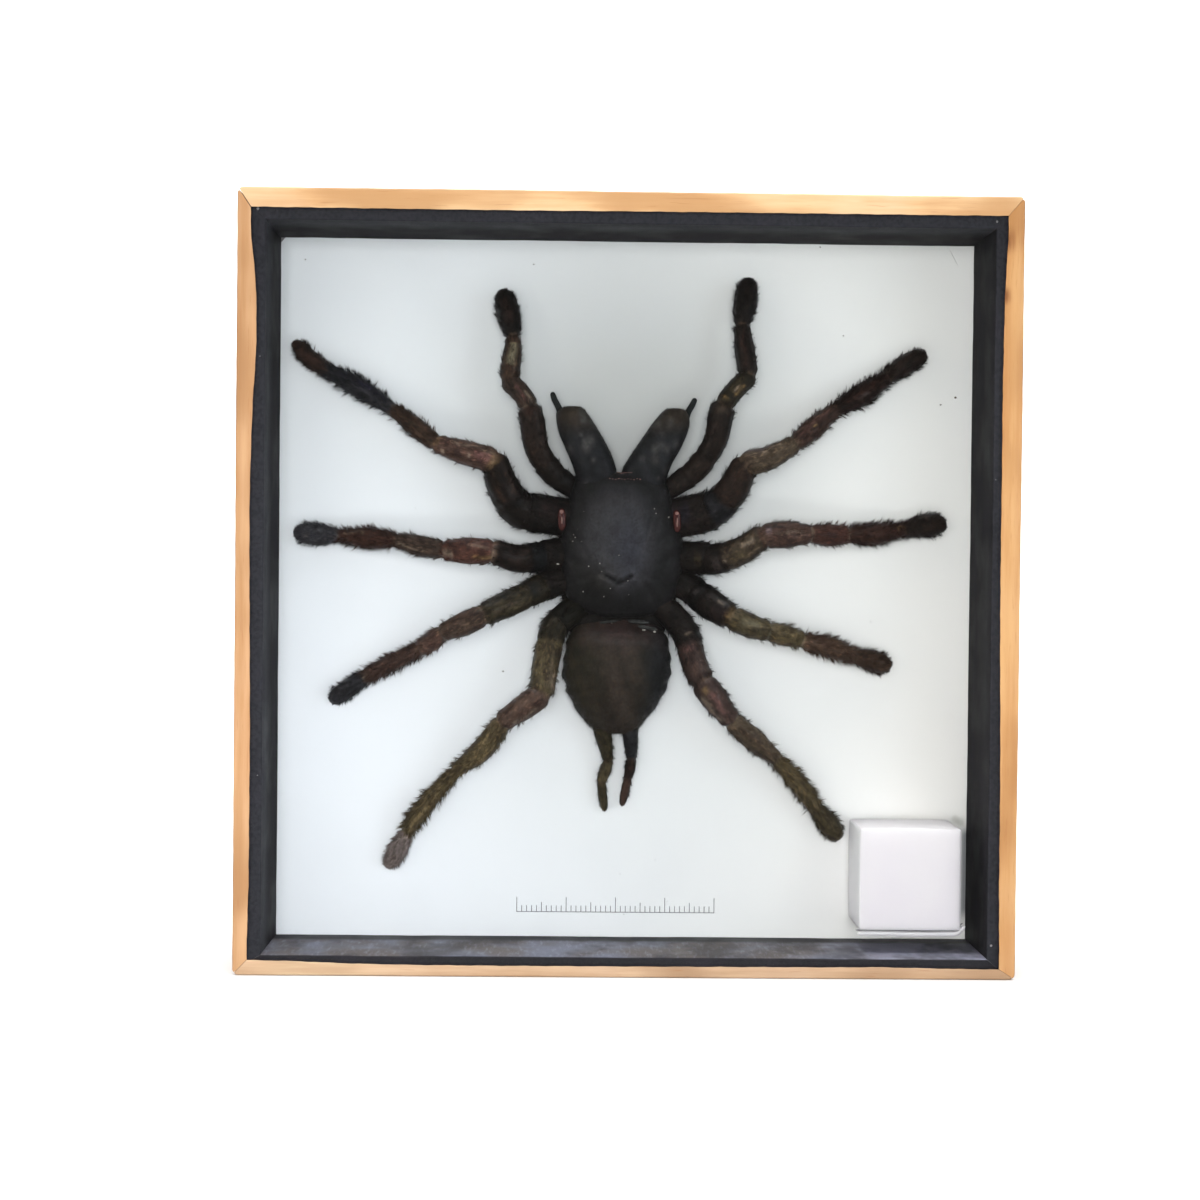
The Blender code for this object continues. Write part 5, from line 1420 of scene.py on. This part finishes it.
def build_specks():
    """Crumbs, a scratch and a folded corner on the board, and pale specks on the card under the
    glass.
    """
    rng = np.random.default_rng(51)
    dark = Bundle()
    for x, z, size in ((-19.1, 139.3, 0.16), (-24.5, 57.2, 0.2), (38.7, 143.5, 0.16),
                       (43.6, 125.7, 0.16), (66.5, 113.5, 0.28), (63.5, 112.0, 0.2),
                       (25.6, 125.1, 0.12), (5.4, 115.4, 0.1), (-65.0, 139.7, 0.16)):
        pebble(dark, (x, BOARD_Y - 0.04, z), (size, 0.07, size * 0.8), rng)
    capsule(dark, (65.0, 8.98, 143.2), (66.6, 8.98, 140.2), 0.06, 6)
    for _ in range(26):
        x, z = rng.uniform(-66, 66), rng.uniform(8, 140)
        size = rng.uniform(0.05, 0.09)
        pebble(dark, (x, BOARD_Y - 0.03, z), (size, 0.05, size), rng)
    make_trim(dark, "board_crumbs", "white_board", "dark_crumb", srgb(96, 88, 74))

    fold = Bundle()
    add_plate(fold, np.array([(-70.0, 144.2), (-68.9, 144.2), (-70.0, 142.9)]),
              ((0.0, 8.99), (0.0, 8.9)))
    make_trim(fold, "board_folded_corner", "white_board", "folded_paper_grey",
              srgb(150, 146, 150), 0.85)

    pale = Bundle()
    for x, z, size in ((-71.3, 146.0, 0.28), (72.5 - 2.6, 145.4, 0.22), (70.6, 6.3, 0.24),
                       (-70.6, 38.0, 0.1), (70.3, 96.0, 0.1), (-70.7, 118.0, 0.1)):
        pebble(pale, (x, -12.56, z), (size, 0.06, size), rng)
    make_trim(pale, "liner_pale_specks", "black_card", "pale_liner_speck", srgb(150, 147, 150))


# ---------------------------------------------------------------- building it all

shell = shell_material("spider_shell_dry")
hair = hair_material("spider_bristles")
felt = shell_material("spider_felted_shell", 0.48, 0.2, 0.04, 1.0)
skin = shell_material("spider_abdomen_skin", 0.52, 0.25, 0.06, 1.0)
for number, (limb, (kind, places, colours)) in enumerate(LIMBS.items()):
    limb_slot = "spider_abdomen" if kind == "spinneret" else "spider_shell"
    build_limb(limb, kind, places, colours, 100 + number, [shell, hair], limb_slot)
build_carapace([felt, hair])
build_underbody([felt, hair])
build_abdomen([skin, hair])
for number, side in enumerate(JAWS):
    build_jaw(side, 61 + number, [felt, hair])
build_body_trim()

BROWN = srgb(120, 72, 36)
# Dark red-brown on the rabbet's faces: painted shade of the narrow gap beside the glass; the rails'
# hidden mitre faces get it too.
rabbet = plain_tint_material("rabbet_painted_shade", srgb(40, 32, 34), 0.7, Specular_IOR_Level=0.1)
# Each rail's grain direction, light and deep wood colours, stains and seed; the bottom rail's
# colours are also darkened as painted shade.
rail_woods_and_painted_shade = {
    "left": (2, srgb(192, 152, 112), srgb(172, 126, 83), (), 1.3),
    "right": (2, srgb(193, 150, 100), srgb(175, 124, 73),
              (((72.3, -15, 141.5), 0.4, 3.2, BROWN, 0.8),
               ((71.5, -15, 131.0), 0.3, 2.2, BROWN, 0.9)), 2.7),
    "bottom": (0, srgb(195, 165, 134), srgb(170, 136, 104),
               (((-58.0, -15, 2.0), 3.0, 16.0, srgb(206, 182, 148), 0.7),), 4.1),
    "top": (0, srgb(216, 181, 138), srgb(192, 146, 98),
            (((41.0, -15, 148.0), 1.0, 4.5, srgb(222, 190, 150), 0.9),), 6.3),
}
for side, (grain_axis, light, deep, stains, seed) in rail_woods_and_painted_shade.items():
    build_rail(side, wood_material("varnished_wood_" + side, grain_axis, light, deep, stains,
                                   seed), rabbet)
for side in OPENING:
    # One black card, painted lighter on the left and top walls and darker on the right and bottom
    # walls, with its own flange grey: painted light and shade. The bottom also gets dust and a
    # painted sheen.
    dust_and_sheen = 1.0 if side == "bottom" else 0.0
    wall_lit_and_shaded_grey = {"left": srgb(62, 62, 66), "top": srgb(69, 69, 73)}.get(side, srgb(38, 37, 40))
    flange_grey = srgb(42, 41, 45) if dust_and_sheen else srgb(54, 54, 59)
    build_liner(side, card_material("black_card_" + side, flange_grey, wall_lit_and_shaded_grey, dust_and_sheen))

build_board(board_material())
box_paper = paper_material("box_paper", 0.04)
build_paper_box(box_paper)
build_box_lip(box_paper)
build_scale_bar()
build_specks()

build_glass(glass_material())
metal = metal_material()
for name, material in (("back_panel", hardboard_material()), ("hanger", metal),
                       ("tack_left", metal), ("tack_right", metal)):
    for holder in nodes[name].material_slots:
        holder.material = material


# ---------------------------------------------------------------- studio

def build_studio():
    """A white bowl of floor and wall around the frame."""
    profile = [(0.0, 0.0), (0.6, 0.0)]
    for angle in np.radians(np.linspace(0, 90, 13)):
        profile.append((0.9 + 0.6 * math.sin(angle), 0.6 - 0.6 * math.cos(angle)))
    profile.append((1.5, 2.4))
    sides = 64
    bm = bmesh.new()
    rings = []
    for radius, height in profile[1:]:
        rings.append([bm.verts.new((radius * math.cos(2 * math.pi * side / sides),
                                    radius * math.sin(2 * math.pi * side / sides),
                                    height - 0.00005)) for side in range(sides)])
    bm.faces.new(rings[0])
    for lower, upper in zip(rings[:-1], rings[1:]):
        for side in range(sides):
            after = (side + 1) % sides
            bm.faces.new((lower[after], lower[side], upper[side], upper[after]))
    mesh = bpy.data.meshes.new("studio_bowl")
    bm.to_mesh(mesh)
    bm.free()
    mesh.shade_smooth()
    paper = Material("studio_paper", (0.92, 0.92, 0.92), 0.9)
    mesh.materials.append(paper.material)
    bowl = bpy.data.objects.new("studio_bowl", mesh)
    bowl.visible_glossy = False
    bowl.visible_transmission = False
    bpy.context.scene.collection.objects.link(bowl)


def add_light(name, kind, place, target, power, mirrored, settings):
    """A light that shines at a point, and may show in glossy surfaces."""
    data = bpy.data.lights.new(name, kind)
    data.energy = power
    for key, value in settings.items():
        setattr(data, key, value)
    data.cycles.use_multiple_importance_sampling = False
    light = bpy.data.objects.new(name, data)
    place, target = Vector(place), Vector(target)
    light.matrix_world = Matrix.Translation(place) @ (
        (target - place).to_track_quat("-Z", "Y").to_matrix().to_4x4())
    light.visible_camera = False
    light.visible_glossy = mirrored
    light.visible_transmission = False
    bpy.context.scene.collection.objects.link(light)


def build_lights():
    """Rectangular soft lights around the frame, and soft spots on three sides of the board."""
    middle = (0.0, 0.0, 0.075)
    white, warm, cool = (1.0, 1.0, 1.0), (1.0, 0.95, 0.86), (0.84, 0.93, 1.0)
    for name, place, target, size, power, colour, mirrored in (
            ("front_fill", (-0.03, -0.62, 0.10), middle, (0.24, 0.24), 2.25, white, False),
            ("key_left", (-0.40, -0.52, 0.12), middle, (0.2, 0.3), 0.3, warm, True),
            ("key_right", (0.42, -0.50, 0.12), middle, (0.2, 0.3), 0.4, cool, True),
            ("low_front", (0.0, -0.17, 0.012), (0.0, 0.0, 0.09), (0.3, 0.02), 0.085, white, False),
            ("overhead", (0.0, -0.085, 0.62), (0.0, -0.075, 0.0), (0.5, 0.07), 2.8, white, True),
            ("rear_fill", (0.0, 0.35, 0.9), (0.0, 1.2, 0.25), (0.9, 0.6), 22.0, white, True)):
        add_light(name, "AREA", place, target, power, mirrored,
                  {"shape": "RECTANGLE", "size": size[0], "size_y": size[1], "color": colour})
    for name, place, target, angle, power in (
            ("spot_left", (-0.03, -0.6, 0.06), (-0.082, 0.0, 0.036), 14.0, 4.9),
            ("spot_right", (0.03, -0.6, 0.06), (0.084, 0.0, 0.062), 13.0, 2.6),
            ("spot_top", (0.0, -0.6, 0.1), (0.0, 0.0, 0.165), 16.0, 2.0)):
        add_light(name, "SPOT", place, target, power, False,
                  {"spot_size": math.radians(angle), "spot_blend": 1.0, "shadow_soft_size": 0.06})


def build_camera():
    """A camera at the photograph's place: slightly to the left, at half the frame's height."""
    yaw, pitch, roll = (math.radians(angle) for angle in (-1.021, -0.987, -0.583))
    turn = (Matrix.Rotation(yaw, 3, "Z") @ Matrix.Rotation(pitch, 3, "X")
            @ Matrix.Rotation(roll, 3, "Y"))
    right, forward, up = turn.col
    data = bpy.data.cameras.new("camera")
    data.lens = 60.3
    data.sensor_width = 36.0
    data.clip_start = 0.01
    camera = bpy.data.objects.new("camera", data)
    camera.matrix_world = Matrix.Translation((-0.0123, -0.398, 0.0788)) @ (
        Matrix((right, up, -forward)).transposed().to_4x4())
    bpy.context.scene.collection.objects.link(camera)
    bpy.context.scene.camera = camera


scene = bpy.context.scene
scene.view_settings.view_transform = "Standard"
world = bpy.data.worlds.new("studio")
world.use_nodes = True
world.node_tree.nodes["Background"].inputs["Color"].default_value = (1, 1, 1, 1)
world.node_tree.nodes["Background"].inputs["Strength"].default_value = 0.12
world.cycles_visibility.glossy = False
scene.world = world
build_studio()
build_camera()
build_lights()
